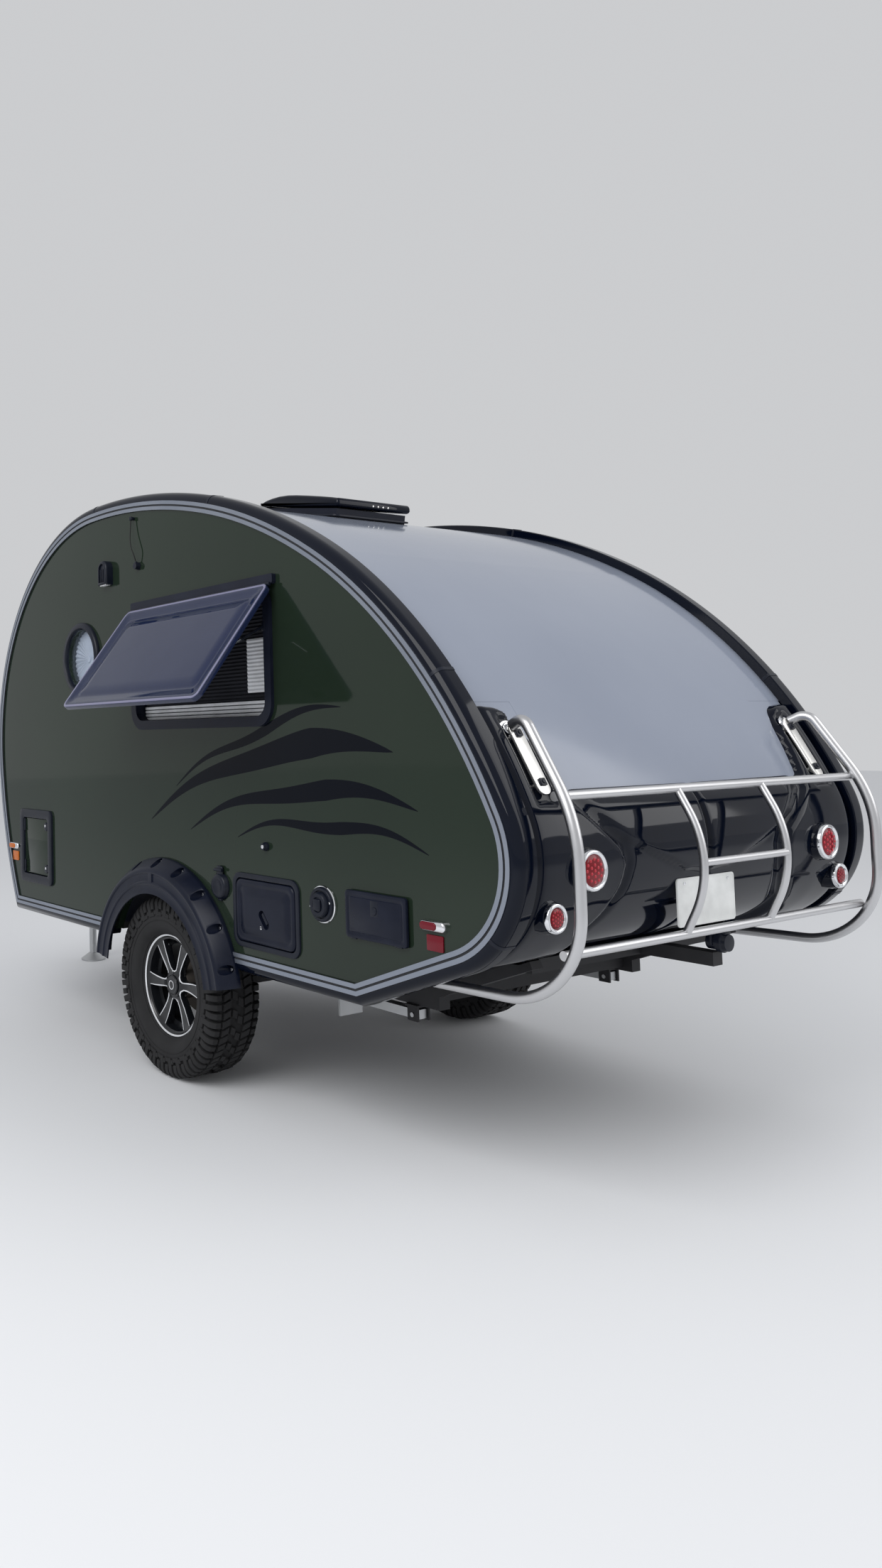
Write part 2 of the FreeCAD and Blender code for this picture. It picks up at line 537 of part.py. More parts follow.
frame_outer = rounded(s.window_x, s.window_z, s.window_length, s.window_height, s.window_corner)
frame_inner = rounded(s.window_x, s.window_z, s.window_length - 2 * s.frame_band,
                      s.window_height - 2 * s.frame_band, s.window_corner - 32)
sash_x = s.window_x - 22
frame = slab("window_frame", LEFT, "sizes.half_width", "sizes.frame_proud", frame_outer, frame_inner)
neck = sketch(frame, "XZ_Plane", "-sizes.half_width", [window_hole, frame_inner])
pad(frame, neck, "sizes.wall + 4")
rail_base = s.window_z + s.window_height / 2 - 6
rail = rounded(sash_x, rail_base + 18, sash_length, 36, 8)
pad(frame, sketch(frame, "XZ_Plane", "-sizes.half_width", [rail]), "sizes.hinge_proud - 2", reverse=True)
finish(pair_of(frame), "window_frames")
pane = face_of(rounded(sash_x, hinge_z - 8 - sash_drop / 2, sash_length, sash_drop, 30))
pane = pane.extrude(Vector(0, 0, s.sash_thick))
pane.rotate(Vector(0, 0, 0), FORWARD, 90)
pane.translate(Vector(0, pivot_y + s.sash_thick / 2, 0))
sash = swung(pane)
finish(feature("window_sashes", both_sides(sash)), "window_sashes")

stays = []
stay_end = 300
for end in (-1, 1):
    x = s.window_x + end * (s.window_length / 2 - s.frame_band + 2)
    tip = Vector(x, pivot_y - s.sash_thick / 2, hinge_z - stay_end)
    turn = Matrix()
    turn.move(Vector(0, -pivot_y, -hinge_z))
    turn.rotateX(math.radians(s.sash_angle))
    turn.move(Vector(0, pivot_y, hinge_z))
    tip = turn.multVec(tip)
    root = Vector(x, s.half_width + s.frame_proud, hinge_z - 150)
    stay = rod(root, tip, 5)
    knuckle = block(14, 16, 24, (0.5, 0, 0.5), (x, s.half_width + s.frame_proud, hinge_z - 150))
    stay = stay.fuse(knuckle)
    stays += [stay, mirrored(stay)]
frame_zone = block(2 * far, 2 * (s.half_width + s.frame_proud), 2 * far)
stays = [stay.cut([sash, mirrored(sash), frame_zone]) for stay in stays]
finish(feature("window_stays", Part.makeCompound(stays)), "window_stays")

blind_y = s.half_width - s.wall - 6
blind = block(s.window_length - 90, 8, s.window_height - 150, (0.5, 1, 1),
              (s.window_x, blind_y, s.window_z + s.window_height / 2 - 30))
blind_rail = block(s.window_length - 90, 20, 44, (0.5, 1, 1), (s.window_x, blind_y + 2, blind.BoundBox.ZMin))
finish(feature("blinds", both_sides(blind.fuse(blind_rail))), "blinds")

porthole = slab("porthole_ring", LEFT, "sizes.half_width", "sizes.frame_proud + 6",
                disc(s.porthole_x, s.porthole_z, s.porthole_radius), porthole_hole)
finish(porthole, "porthole_ring")
finish(slab("porthole_pane", LEFT, "sizes.half_width - sizes.wall", "18", porthole_hole), "porthole_pane")

# ---------------------------------------------------------------- entry door, on the right
hinge_x = s.door_front - s.gap / 2
hinge_y = -(s.half_width + 14)
door_leaves, frame_leaves = [], []
for z in (door_z - 480, door_z + 480):
    knuckle = rod((hinge_x, hinge_y, z - 45), (hinge_x, hinge_y, z + 45), 6)
    leaf = block(60, 4, 84, (1, 1, 0.5), (hinge_x - 6, -s.half_width, z))
    link = block(12, 14, 84, (1, 0, 0.5), (hinge_x - 2, hinge_y, z))
    pin = rod((hinge_x, hinge_y, z - 66), (hinge_x, hinge_y, z + 66), s.pin_radius)
    door_leaves.append(knuckle.fuse([leaf, link, pin]).removeSplitter())
    for end in (-1, 1):
        middle = z + end * 56
        knuckle = rod((hinge_x, hinge_y, middle - 10), (hinge_x, hinge_y, middle + 10), 6)
        leaf = block(46, 10, 20, (0, 1, 0.5), (hinge_x, -s.half_width - 4, middle))
        eye = rod((hinge_x, hinge_y, middle - 11), (hinge_x, hinge_y, middle + 11), s.pin_radius + s.shaft_play)
        frame_leaves.append(knuckle.fuse(leaf).cut(eye))
frame = slab("door_ring", RIGHT, "sizes.half_width", "sizes.band_proud",
             rounded(door_x, door_z, door_length + 50, door_height + 50, s.door_corner + 25), door_hole)
doc.recompute()
finish(feature("door_frame", frame.Shape.fuse(frame_leaves)), "door_frame")
door_pane_hole = disc(door_x, s.porthole_z, s.porthole_radius - s.porthole_band)
door = slab("entry_door", RIGHT, "sizes.half_width - sizes.wall", "sizes.wall",
            rounded(door_x, door_z, door_length - 2 * s.gap, door_height - 2 * s.gap, s.door_corner - s.gap),
            door_pane_hole)
finish(door, "entry_door")
finish(slab("door_porthole_ring", RIGHT, "sizes.half_width", "sizes.frame_proud",
            disc(door_x, s.porthole_z, s.porthole_radius), door_pane_hole), "door_porthole_ring")
finish(slab("door_porthole_pane", RIGHT, "sizes.half_width - sizes.wall", "18", door_pane_hole),
       "door_porthole_pane")
handle = block(84, 14, 130, (0.5, 1, 0.5), (s.door_rear + 90, -s.half_width, 1240))
handle = handle.makeFillet(6, [edge for edge in handle.Edges if edge.BoundBox.YMax < -s.half_width - 1])
grip = block(40, 16, 96, (0.5, 1, 0.5), (s.door_rear + 84, -s.half_width - 14, 1240))
finish(feature("door_fittings", Part.makeCompound([handle.fuse(grip)] + door_leaves)), "door_fittings")

# ---------------------------------------------------------------- service doors, on the left
storage_opening = rounded(s.storage_x, s.storage_z, s.storage_length - 80, s.storage_height - 80, 14)
cassette_opening = rounded(s.cassette_x, s.cassette_z, s.cassette_length - 32, s.cassette_height - 32, 30)
frames = []
for node, proud, outer, hole, opening in (
        ("storage_frame", "12", rounded(s.storage_x, s.storage_z, s.storage_length, s.storage_height, 30),
         storage_hole, storage_opening),
        ("cassette_frame", "8", rounded(s.cassette_x, s.cassette_z, s.cassette_length, s.cassette_height, 44),
         cassette_hole, cassette_opening)):
    frame = slab(node, LEFT, "sizes.half_width", proud, outer, opening)
    pad(frame, sketch(frame, "XZ_Plane", "-sizes.half_width", [hole, opening]), "sizes.wall")
    frames.append(frame)
both = doc.addObject("Part::Compound", "service_frames")
both.Links = frames
finish(both, "service_frames")
finish(slab("storage_door", LEFT, "sizes.half_width - 22", "28",
            rounded(s.storage_x, s.storage_z, s.storage_length - 92, s.storage_height - 92, 10)), "storage_door")
cassette_lid = slab("cassette_door", LEFT, "sizes.half_width - 18", "30",
                    rounded(s.cassette_x, s.cassette_z, s.cassette_length - 46, s.cassette_height - 46, 24))
pull = rounded(s.cassette_x, s.cassette_z - 30, 84, 64, 14)
pocket(cassette_lid, sketch(cassette_lid, "XZ_Plane", "-sizes.half_width - 12", [pull]), "14", reverse=True)
finish(cassette_lid, "cassette_door")

shower_opening = rounded(s.shower_x, s.shower_z, s.shower_length - 32, s.shower_height - 32, 8)
tray = slab("shower_box", LEFT, "sizes.half_width - sizes.shower_depth", "sizes.shower_depth", shower_hole)
pocket(tray, sketch(tray, "XZ_Plane", "-sizes.half_width", [shower_opening]), "sizes.shower_depth - 4",
       reverse=True)
finish(tray, "shower_box")
finish(slab("shower_lid", LEFT, "sizes.half_width + 6", "12",
            rounded(s.shower_x, s.shower_z, s.shower_length, s.shower_height, 12)), "shower_lid")

# ---------------------------------------------------------------- small fittings on the walls
inlet = rod((-1004, s.half_width, 816), (-1004, s.half_width + 18, 816), 62)
inlet = inlet.fuse(rod((-1004, s.half_width + 18, 816), (-1004, s.half_width + 30, 816), 44))
filler = rod((-405, s.half_width, 815), (-405, s.half_width + 22, 815), 50)
filler = filler.makeFillet(6, [filler.Edges[0]])
catch = rod((s.cassette_x - 12, s.half_width, 987), (s.cassette_x - 12, s.half_width + 20, 987), 16)
socket = rod((167, s.half_width, 2131), (167, s.half_width + 22, 2131), 14)
socket = socket.fuse(rod((167, s.half_width + 15, 2131), (167, s.half_width + 15, 2150), 6))
gland = rod((203, s.half_width + 15, 2336), (203, s.half_width + 15, 2352), 7)
gland = gland.fuse(block(10, 15, 12, (0.5, 0, 0.5), (203, s.half_width, 2344)))
finish(feature("wall_fittings", Part.makeCompound(
    [inlet.removeSplitter(), filler, catch, socket.removeSplitter(), gland.removeSplitter()])), "wall_fittings")
lamps = []
for x, z, length in ((-1517, 812, 100), (1476, 834, 100)):
    marker = block(length, 20, 26, (0.5, 0, 0.5), (x, s.half_width, z))
    marker = marker.makeFillet(8, [edge for edge in marker.Edges if edge.BoundBox.YMin > s.half_width + 1])
    reflector = block(67, 5, 48, (0.5, 0, 0.5), (x, s.half_width, z - 52))
    lamps += [marker, reflector, mirrored(marker), mirrored(reflector)]
finish(feature("side_lamps", Part.makeCompound(lamps)), "side_lamps")
lamps = []
for side, x, z in ((LEFT, 435, 2140), (RIGHT, door_x, 2168)):
    lamp = block(112, 46, 64, (0.5, 0, 1), (x, s.half_width, z))
    lamp = lamp.fuse(rod((x, s.half_width, z), (x, s.half_width + 46, z), 50))
    lamp = lamp.common(block(112, 46, 120, (0.5, 0, 0.5), (x, s.half_width, z)))
    lamps.append(lamp.removeSplitter() if side > 0 else mirrored(lamp.removeSplitter()))
finish(feature("porch_lamps", Part.makeCompound(lamps)), "porch_lamps")
# ---------------------------------------------------------------- tail
pod_body = cabin_solid(s.pod_proud, s.half_width)
barrels = []
for y, z, lens, reach in ((s.big_lamp_y, s.big_lamp_z, s.big_lens, 30),
                          (s.small_lamp_y, s.small_lamp_z, s.small_lens, 38)):
    face_x = outline_x(z, offset=s.pod_proud) - reach
    barrel = rod((face_x + 110, y, z), (face_x + 5, y, z), lens + s.bezel)
    barrel = barrel.fuse(rod((face_x + 110, y, z), (face_x, y, z), lens))
    barrels.append(barrel.cut(pod_body).removeSplitter())
finish(feature("tail_lamps", Part.makeCompound(barrels + [mirrored(shape) for shape in barrels])), "tail_lamps")

# grip plates on the pods, and hoops from them round under the slope
plate_body = cabin_solid(s.pod_proud + s.grip_thick, s.half_width)
grip_zone = block(2000, 54, s.grip_top - s.grip_bottom, (1, 0.5, 0), (-1000, s.grip_y, s.grip_bottom))
grip_plate = plate_body.cut(pod_body).common(grip_zone)
finish(feature("grip_plates", both_sides(grip_plate)), "grip_plates")
hoop_path = [(tail_x + 182, s.grip_y, 1378), (tail_x + 66, 755, 1432), (hoop_x, s.hoop_half, 1135),
             (hoop_x, s.hoop_half, 622), (tail_x + 500, s.hoop_half, 606)]
hoop = tube(hoop_path, [44, 420, 270], s.hoop_tube)
top_half = block(4000, 2000, 1000, (1, 0, 0), (0, 0, s.fascia_top))
hoop = hoop.cut([plate_body.common(top_half), cabin_solid(0, s.half_width)])
hoop = max(hoop.Solids, key=lambda solid: solid.Volume)
hoops = [hoop, mirrored(hoop)]
bars = []
for x, z in ((tail_x - 54, s.top_bar_height), (tail_x - 64, s.low_bar_height)):
    bars.append(rod((x, -s.hoop_half, z), (x, s.hoop_half, z), s.bar_tube).cut(hoops))
    bars[-1] = max(bars[-1].Solids, key=lambda solid: solid.Volume)
upright = tube([(tail_x - 54, s.upright_half, s.top_bar_height),
                (tail_x - s.upright_gap - 43, s.upright_half, s.mid_bar_height),
                (tail_x - 64, s.upright_half, s.low_bar_height)], [330], s.upright_tube)
upright = max(upright.cut(bars).Solids, key=lambda solid: solid.Volume)
rung_x = tail_x - s.upright_gap
rung = rod((rung_x, -s.upright_half, s.mid_bar_height), (rung_x, s.upright_half, s.mid_bar_height), s.upright_tube - 1)
bars.append(max(rung.cut([upright, mirrored(upright)]).Solids, key=lambda solid: solid.Volume))
finish(feature("bumper_hoops", Part.makeCompound(hoops)), "bumper_hoops")
finish(feature("bumper_bars", Part.makeCompound(bars)), "bumper_bars")
finish(feature("bumper_uprights", both_sides(upright)), "bumper_uprights")

plate_x = tail_x + 13
number_plate = block(3, 305, 152, (1, 0.5, 0), (plate_x, 0, s.plate_bottom))
foot = block(60, 120, 60, (0, 0.5, 0.5), (plate_x, 0, s.plate_bottom + 86)).cut(cabin_solid(0, s.half_width))
finish(feature("number_plate", number_plate.fuse(foot)), "number_plate")

# ---------------------------------------------------------------- roof vent
vent_z = outline_z(s.vent_x)
roof_slope = math.degrees(math.atan2(outline_z(s.vent_x + 100) - outline_z(s.vent_x - 100), 200))
base = block(s.vent_length, s.vent_width, s.vent_base + 20, (0.5, 0.5, 0), (0, 0, -20))
low, half = s.vent_base + 6, s.vent_length / 2
hood = face_of(polygon((-half - 20, low), (half + 20, low), (half + 2, low + 22), (-half / 3, low + s.vent_hood),
                       (-half - 8, low + 36)))
hood.rotate(Vector(0, 0, 0), FORWARD, 90)
hood = hood.extrude(Vector(0, -s.vent_width - 30, 0))
hood.translate(Vector(0, s.vent_width / 2 + 15, 0))
hood_hinge = Part.Vertex(half + 20, 0, low)
for shape in (base, hood, hood_hinge):
    shape.rotate(Vector(0, 0, 0), ACROSS, -roof_slope)
    shape.translate(Vector(s.vent_x, 0, vent_z))
finish(feature("vent_base", base.cut(cabin_solid(0, s.half_width))), "vent_base")
finish(feature("vent_hood", hood.cut(base)), "vent_hood")

# ---------------------------------------------------------------- loose lead above the window
lead = [Vector(203, 922, 2336), Vector(203, 925, 2296), Vector(196, 933, 2248), Vector(180, 936, 2206),
        Vector(168, 929, 2176), Vector(167, 922, 2150)]
lead_radii = []
for before, corner, after in zip(lead, lead[1:], lead[2:]):
    turn = (corner - before).getAngle(after - corner)
    shorter = min((corner - before).Length, (after - corner).Length)
    lead_radii.append(0.45 * shorter / math.tan(turn / 2))
lead_path = [tuple(point) for point in lead]
lead_tube = tube(lead_path, lead_radii, s.lead_radius)
finish(feature("lamp_lead", lead_tube), "lamp_lead")
print("lead radii", [round(radius) for radius in lead_radii], "volume over section times length",
      lead_tube.Volume / (tube_path(lead_path, lead_radii).Length * math.pi * s.lead_radius ** 2))

# ---------------------------------------------------------------- inside the cabin
inner_cabin = cabin_solid(-s.wall - 1, shell_half - 1)
housing = both_sides(rod((0, s.arch_inner - 1, axle_z), (0, s.half_width, axle_z), s.arch_radius + s.liner + 1))
shower_space = block(s.shower_length, s.shower_depth, s.shower_height, (0.5, 1, 0.5),
                     (s.shower_x, s.half_width, s.shower_z))
bed_zone = block(s.bed_length, 4000, s.bed_height, (0, 0.5, 0), (s.bed_rear, 0, s.sill_height + s.wall + 1))
bed_hollow = block(s.bed_length - 2 * s.board, 4000, s.bed_height - s.board, (0, 0.5, 0),
                   (s.bed_rear + s.board, 0, s.sill_height + s.wall))
bed_hollow = bed_hollow.common(cabin_solid(-s.wall - 1 - s.board, shell_half - 1 - s.board))
cassette_space = face_of(cassette_hole).extrude(Vector(0, 0, 2 * s.board))
cassette_space.rotate(Vector(0, 0, 0), FORWARD, 90)
cassette_space.translate(Vector(0, shell_half, 0))
bed_base = bed_zone.common(inner_cabin).cut([housing, shower_space, bed_hollow, cassette_space])
bed_base = max(bed_base.Solids, key=lambda solid: solid.Volume)
# separate boards, half a millimetre apart: the top, the two ends and the two sides
seam = 0.5
bed_top_z = s.sill_height + s.wall + 1 + s.bed_height - s.board
bed_front = s.bed_rear + s.bed_length
bed_top = bed_base.common(block(far, far, far, (0.5, 0.5, 0), (0, 0, bed_top_z)))
under_top = bed_base.common(block(far, far, bed_top_z - seam, (0.5, 0.5, 0)))
front_board = under_top.common(block(s.board, far, far, (1, 0.5, 0), (bed_front, 0, 0)))
rear_board = under_top.common(block(s.board, far, far, (0, 0.5, 0), (s.bed_rear, 0, 0)))
between = block(s.bed_length - 2 * s.board - 2 * seam, far, far, (0, 0, 0), (s.bed_rear + s.board + seam, 0, 0))
side_boards = under_top.common([between, mirrored(between)])
side_boards = side_boards.cut(block(far, 2 * (shell_half - 1 - s.board), far, (0.5, 0.5, 0)))
# each side board is sawn square round the wheel housing
side_boards = side_boards.cut(block(2 * (s.arch_radius + 20), far, axle_z + s.arch_radius + 20, (0.5, 0.5, 0)))
finish(feature("bed_top", bed_top), "bed_top")
bed_boards = [solid for shape in (front_board, rear_board, side_boards) for solid in shape.Solids
              if solid.Volume > 20000]
finish(feature("bed_base", Part.makeCompound(bed_boards)), "bed_base")
mattress_zone = block(s.bed_length + 250, 4000, s.mattress, (0, 0.5, 0),
                      (s.bed_rear - 230, 0, s.sill_height + s.wall + s.bed_height + 1.5))
finish(feature("mattress", mattress_zone.common(cabin_solid(-s.wall - 20, shell_half - 12))), "mattress")
galley = block(420, 900, 860, (1, 0, 0), (1400, -400, s.sill_height + s.wall + 1))
finish(feature("galley", galley.common(inner_cabin)), "galley")

# ---------------------------------------------------------------- build and write
doc.recompute()
for made in doc.Objects:
    if "Invalid" in made.State or "Error" in made.State:
        raise RuntimeError(f"{made.Label} did not build")
os.makedirs("parts", exist_ok=True)
for made in NODES:
    if made.Shape.isNull() or not made.Shape.isValid() or not made.Shape.Solids:
        raise RuntimeError(f"{made.Label} has no valid solid")
print(f"axle_x {axle_x:.2f} nodes {len(NODES)} vent hinge {hood_hinge.X + axle_x:.1f} {hood_hinge.Z:.1f}")
for made in NODES:
    made.Shape.exportStep(f"parts/{made.Label}.step")
    box = made.Shape.BoundBox
    print(f"{made.Label:22s} solids {len(made.Shape.Solids)} volume {made.Shape.Volume / 1e6:9.3f} "
          f"x {box.XMin:8.1f} {box.XMax:8.1f} y {box.YMin:8.1f} {box.YMax:8.1f} z {box.ZMin:8.1f} {box.ZMax:8.1f}")
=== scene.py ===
# %% [markdown]
# # A teardrop camping trailer
# The cabin, chassis, wheels and doors come ready made from the CAD model, as fixed bodies that the joints
# move. This script gives them their finishes and adds the detail that a drawing of the structure leaves
# out: tread, lenses, seals, pleats, bolts and mouldings. Sizes are in millimetres, and `mm` turns them
# into metres. Modifiers, shaders, the mattress, the lead and the studio are set in metres.

# %% Load the frame
import json
import math
from contextlib import contextmanager

import bmesh
import bpy
import numpy
from mathutils import Matrix, Vector


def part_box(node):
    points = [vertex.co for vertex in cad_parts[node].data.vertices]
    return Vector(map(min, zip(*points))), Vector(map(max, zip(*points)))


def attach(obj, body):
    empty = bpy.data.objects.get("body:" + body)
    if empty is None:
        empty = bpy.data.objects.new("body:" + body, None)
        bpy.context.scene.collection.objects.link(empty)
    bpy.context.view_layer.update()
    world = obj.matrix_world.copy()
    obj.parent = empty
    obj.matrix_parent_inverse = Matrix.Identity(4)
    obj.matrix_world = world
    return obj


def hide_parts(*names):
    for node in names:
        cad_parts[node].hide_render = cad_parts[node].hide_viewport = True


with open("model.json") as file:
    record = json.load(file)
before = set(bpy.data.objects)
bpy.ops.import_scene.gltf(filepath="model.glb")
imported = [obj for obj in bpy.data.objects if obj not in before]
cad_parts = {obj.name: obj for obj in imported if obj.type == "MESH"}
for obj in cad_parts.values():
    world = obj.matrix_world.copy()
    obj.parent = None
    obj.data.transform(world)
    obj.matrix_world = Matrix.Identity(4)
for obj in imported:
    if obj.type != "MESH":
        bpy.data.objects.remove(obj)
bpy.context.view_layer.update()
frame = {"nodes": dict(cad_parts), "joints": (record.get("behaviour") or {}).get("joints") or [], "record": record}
nodes = frame["nodes"]
axle = next(joint["pos_m"] for joint in frame["joints"] if joint["name"] == "left_wheel_spin")
AXLE_Z = 1000 * axle[2]
WALL_Y = 1000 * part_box("left_wall")[1].y
SKIN = 906.5  # just under the outer face of the wall


def mm(x, y, z):
    return Vector((x / 1000, y / 1000, z / 1000))


def at(x, y, z):
    """A place in the trailer's own frame: x from the wheel axis, y from the middle, z from the ground."""
    return Vector((x / 1000 + axle[0], y / 1000, z / 1000))


def on_side(x, z, depth):
    return at(x, depth, z)


def on_right(x, z, depth):
    return at(x, -depth, z)


def on_tail(y, z, depth):
    return at(depth, y, z)


print(f"wheel axis {AXLE_Z:.0f} up, side wall at {WALL_Y:.0f}, {len(nodes)} CAD nodes")

# %% [markdown]
# ## Camera
# The trailer is seen from behind its left corner, from standing eye height, with a wide lens held a
# little off level. The frame is taller than the trailer needs, so the lens is shifted rather than turned.

# %% Camera
YAW, PITCH, ROLL = math.radians(-31.32), math.radians(3.26), math.radians(-1.16)
forwards = Vector((math.cos(PITCH) * math.cos(YAW), math.cos(PITCH) * math.sin(YAW), math.sin(PITCH)))
level_right = forwards.cross(Vector((0, 0, 1))).normalized()
level_up = level_right.cross(forwards)
right = math.cos(ROLL) * level_right + math.sin(ROLL) * level_up
up = math.cos(ROLL) * level_up - math.sin(ROLL) * level_right
camera_data = bpy.data.cameras.new("camera")
camera_data.sensor_fit, camera_data.sensor_height, camera_data.lens = "VERTICAL", 36, 25.80
camera_data.shift_x, camera_data.shift_y, camera_data.clip_end = 0.1867, -0.0722, 200
camera = bpy.data.objects.new("camera", camera_data)
bpy.context.collection.objects.link(camera)
turn = Matrix((right, up, -forwards)).transposed().to_4x4()
camera.matrix_world = Matrix.Translation(at(-3985, 3396, 1400)) @ turn
bpy.context.scene.camera = camera

# %% [markdown]
# ## Shader helpers
# A finish is a Principled shader fed by a few nodes. Mostly that is noise, stretched between two values.


# %% Shader helpers
def rgb(colour):
    return (*colour, 1.0)


class Finish:
    """A material with one Principled shader."""

    def __init__(self, name, colour, roughness=0.5, metallic=0.0):
        self.material = bpy.data.materials.new(name)
        self.material.use_nodes = True
        self.tree = self.material.node_tree
        self.place = self.node("TexCoord", output="Object")
        self.put(Base_Color=rgb(colour), Roughness=roughness, Metallic=metallic)

    def feed(self, inputs, values):
        """Links a socket to each input, or sets its value."""
        for key, value in values:
            if isinstance(value, bpy.types.NodeSocket):
                self.tree.links.new(value, inputs[key])
            else:
                inputs[key].default_value = value

    def node(self, kind, *values, output=0, operation=None, **named):
        """Adds a node, its inputs given in order or by name."""
        added_node = self.tree.nodes.new("ShaderNode" + kind)
        if operation:
            added_node.operation = operation
        self.feed(added_node.inputs, [*enumerate(values), *named.items()])
        return added_node.outputs[output]

    def put(self, **values):
        self.feed(self.tree.nodes["Principled BSDF"].inputs,
                  [(key.replace("_", " "), value) for key, value in values.items()])

    def noise(self, scale, detail, place=None):
        return self.node("TexNoise", Vector=place or self.place, Scale=scale, Detail=detail)

    def stretch(self, value, low, high, first=0.0, last=1.0):
        """The value, stretched so that low becomes first and high becomes last."""
        return self.node("MapRange", value, low, high, first, last)

    def mix(self, share, first, second):
        """A colour between two colours."""
        added_node = self.tree.nodes.new("ShaderNodeMix")
        added_node.data_type = "RGBA"
        self.feed(added_node.inputs, ((0, share), (6, first), (7, second)))
        return added_node.outputs[2]

    def bump(self, height, strength, distance):
        self.put(Normal=self.node("Bump", Strength=strength, Distance=distance, Height=height))


# %% [markdown]
# ## Finishes
# Painted panels are glossy and ripple very slightly, mouldings are black gloss or grained plastic, and
# tubes are satin aluminium. Each is a little uneven, because a perfectly even surface reads as a toy.


# %% Finishes
def paint(name, colour, dark, roughness=0.10, ripple=0.06, shine=0.5):
    """Glossy panel paint: large soft clouds of tone in a skin that ripples a little."""
    made = Finish(name, colour)
    tone, film = made.stretch(made.noise(1.3, 4), 0.3, 0.7), made.noise(9, 3)
    made.put(Base_Color=made.mix(tone, rgb(dark), rgb(colour)), Specular_IOR_Level=shine,
             Roughness=made.stretch(film, 0.35, 0.75, roughness, roughness + 0.03))
    made.bump(made.noise(5, 2), ripple, 0.004)
    return made.material


def moulding(name, colour, roughness, grain, shine=0.25):
    """Moulded plastic: a fine grain in the surface and a faint haze."""
    made = Finish(name, colour)
    haze, pale = made.noise(9, 4), [1.35 * part + 0.004 for part in colour]
    made.put(Base_Color=made.mix(made.stretch(haze, 0.3, 0.7), rgb(colour), rgb(pale)),
             Roughness=made.stretch(haze, 0.3, 0.7, roughness, roughness + 0.1), Specular_IOR_Level=shine)
    made.bump(made.noise(900, 2), grain, 0.0003)
    return made.material


def metal(name, colour, roughness, streak, scale):
    """Bare metal, its fine lines drawn along the piece."""
    made = Finish(name, colour, roughness, 1.0)
    lines = made.noise(1.0, 3, made.node("Mapping", made.place, Scale=scale))
    made.put(Roughness=made.stretch(lines, 0.0, 1.0, roughness - streak / 2, roughness + streak / 2))
    made.bump(lines, 0.05, 0.0004)
    return made.material


def pane(name, colour, alpha):
    """Thin acrylic, a little hazed."""
    made = Finish(name, colour)
    haze = made.noise(7, 3)
    made.put(Roughness=made.stretch(haze, 0.35, 0.7, 0.02, 0.07),
             Alpha=made.stretch(haze, 0.35, 0.7, alpha, alpha + 0.04))
    made.material.surface_render_method = "BLENDED"
    return made.material


def trim_rail(name):
    """Satin rail whose groove floor is painted near black as painted shade, told apart by how far each is from the
    wall.
    """
    made = Finish(name, (0.30, 0.33, 0.39))
    across = made.node("Math", made.node("SeparateXYZ", made.place, output="Y"), operation="ABSOLUTE")
    # The groove floor lies nearer the wall than the rail's face and gets a near-black painted shade.
    groove_shade = made.node("Math", across, (WALL_Y + 6.5) / 1000, operation="LESS_THAN")
    tone = made.stretch(made.noise(3, 3), 0.3, 0.7)
    silver = made.mix(tone, rgb((0.27, 0.30, 0.36)), rgb((0.32, 0.35, 0.41)))
    made.put(Base_Color=made.mix(groove_shade, silver, rgb((0.010, 0.011, 0.014))),
             Metallic=made.stretch(groove_shade, 0.0, 1.0, 0.85, 0.0),
             Roughness=made.stretch(groove_shade, 0.0, 1.0, 0.34, 0.59))
    return made.material


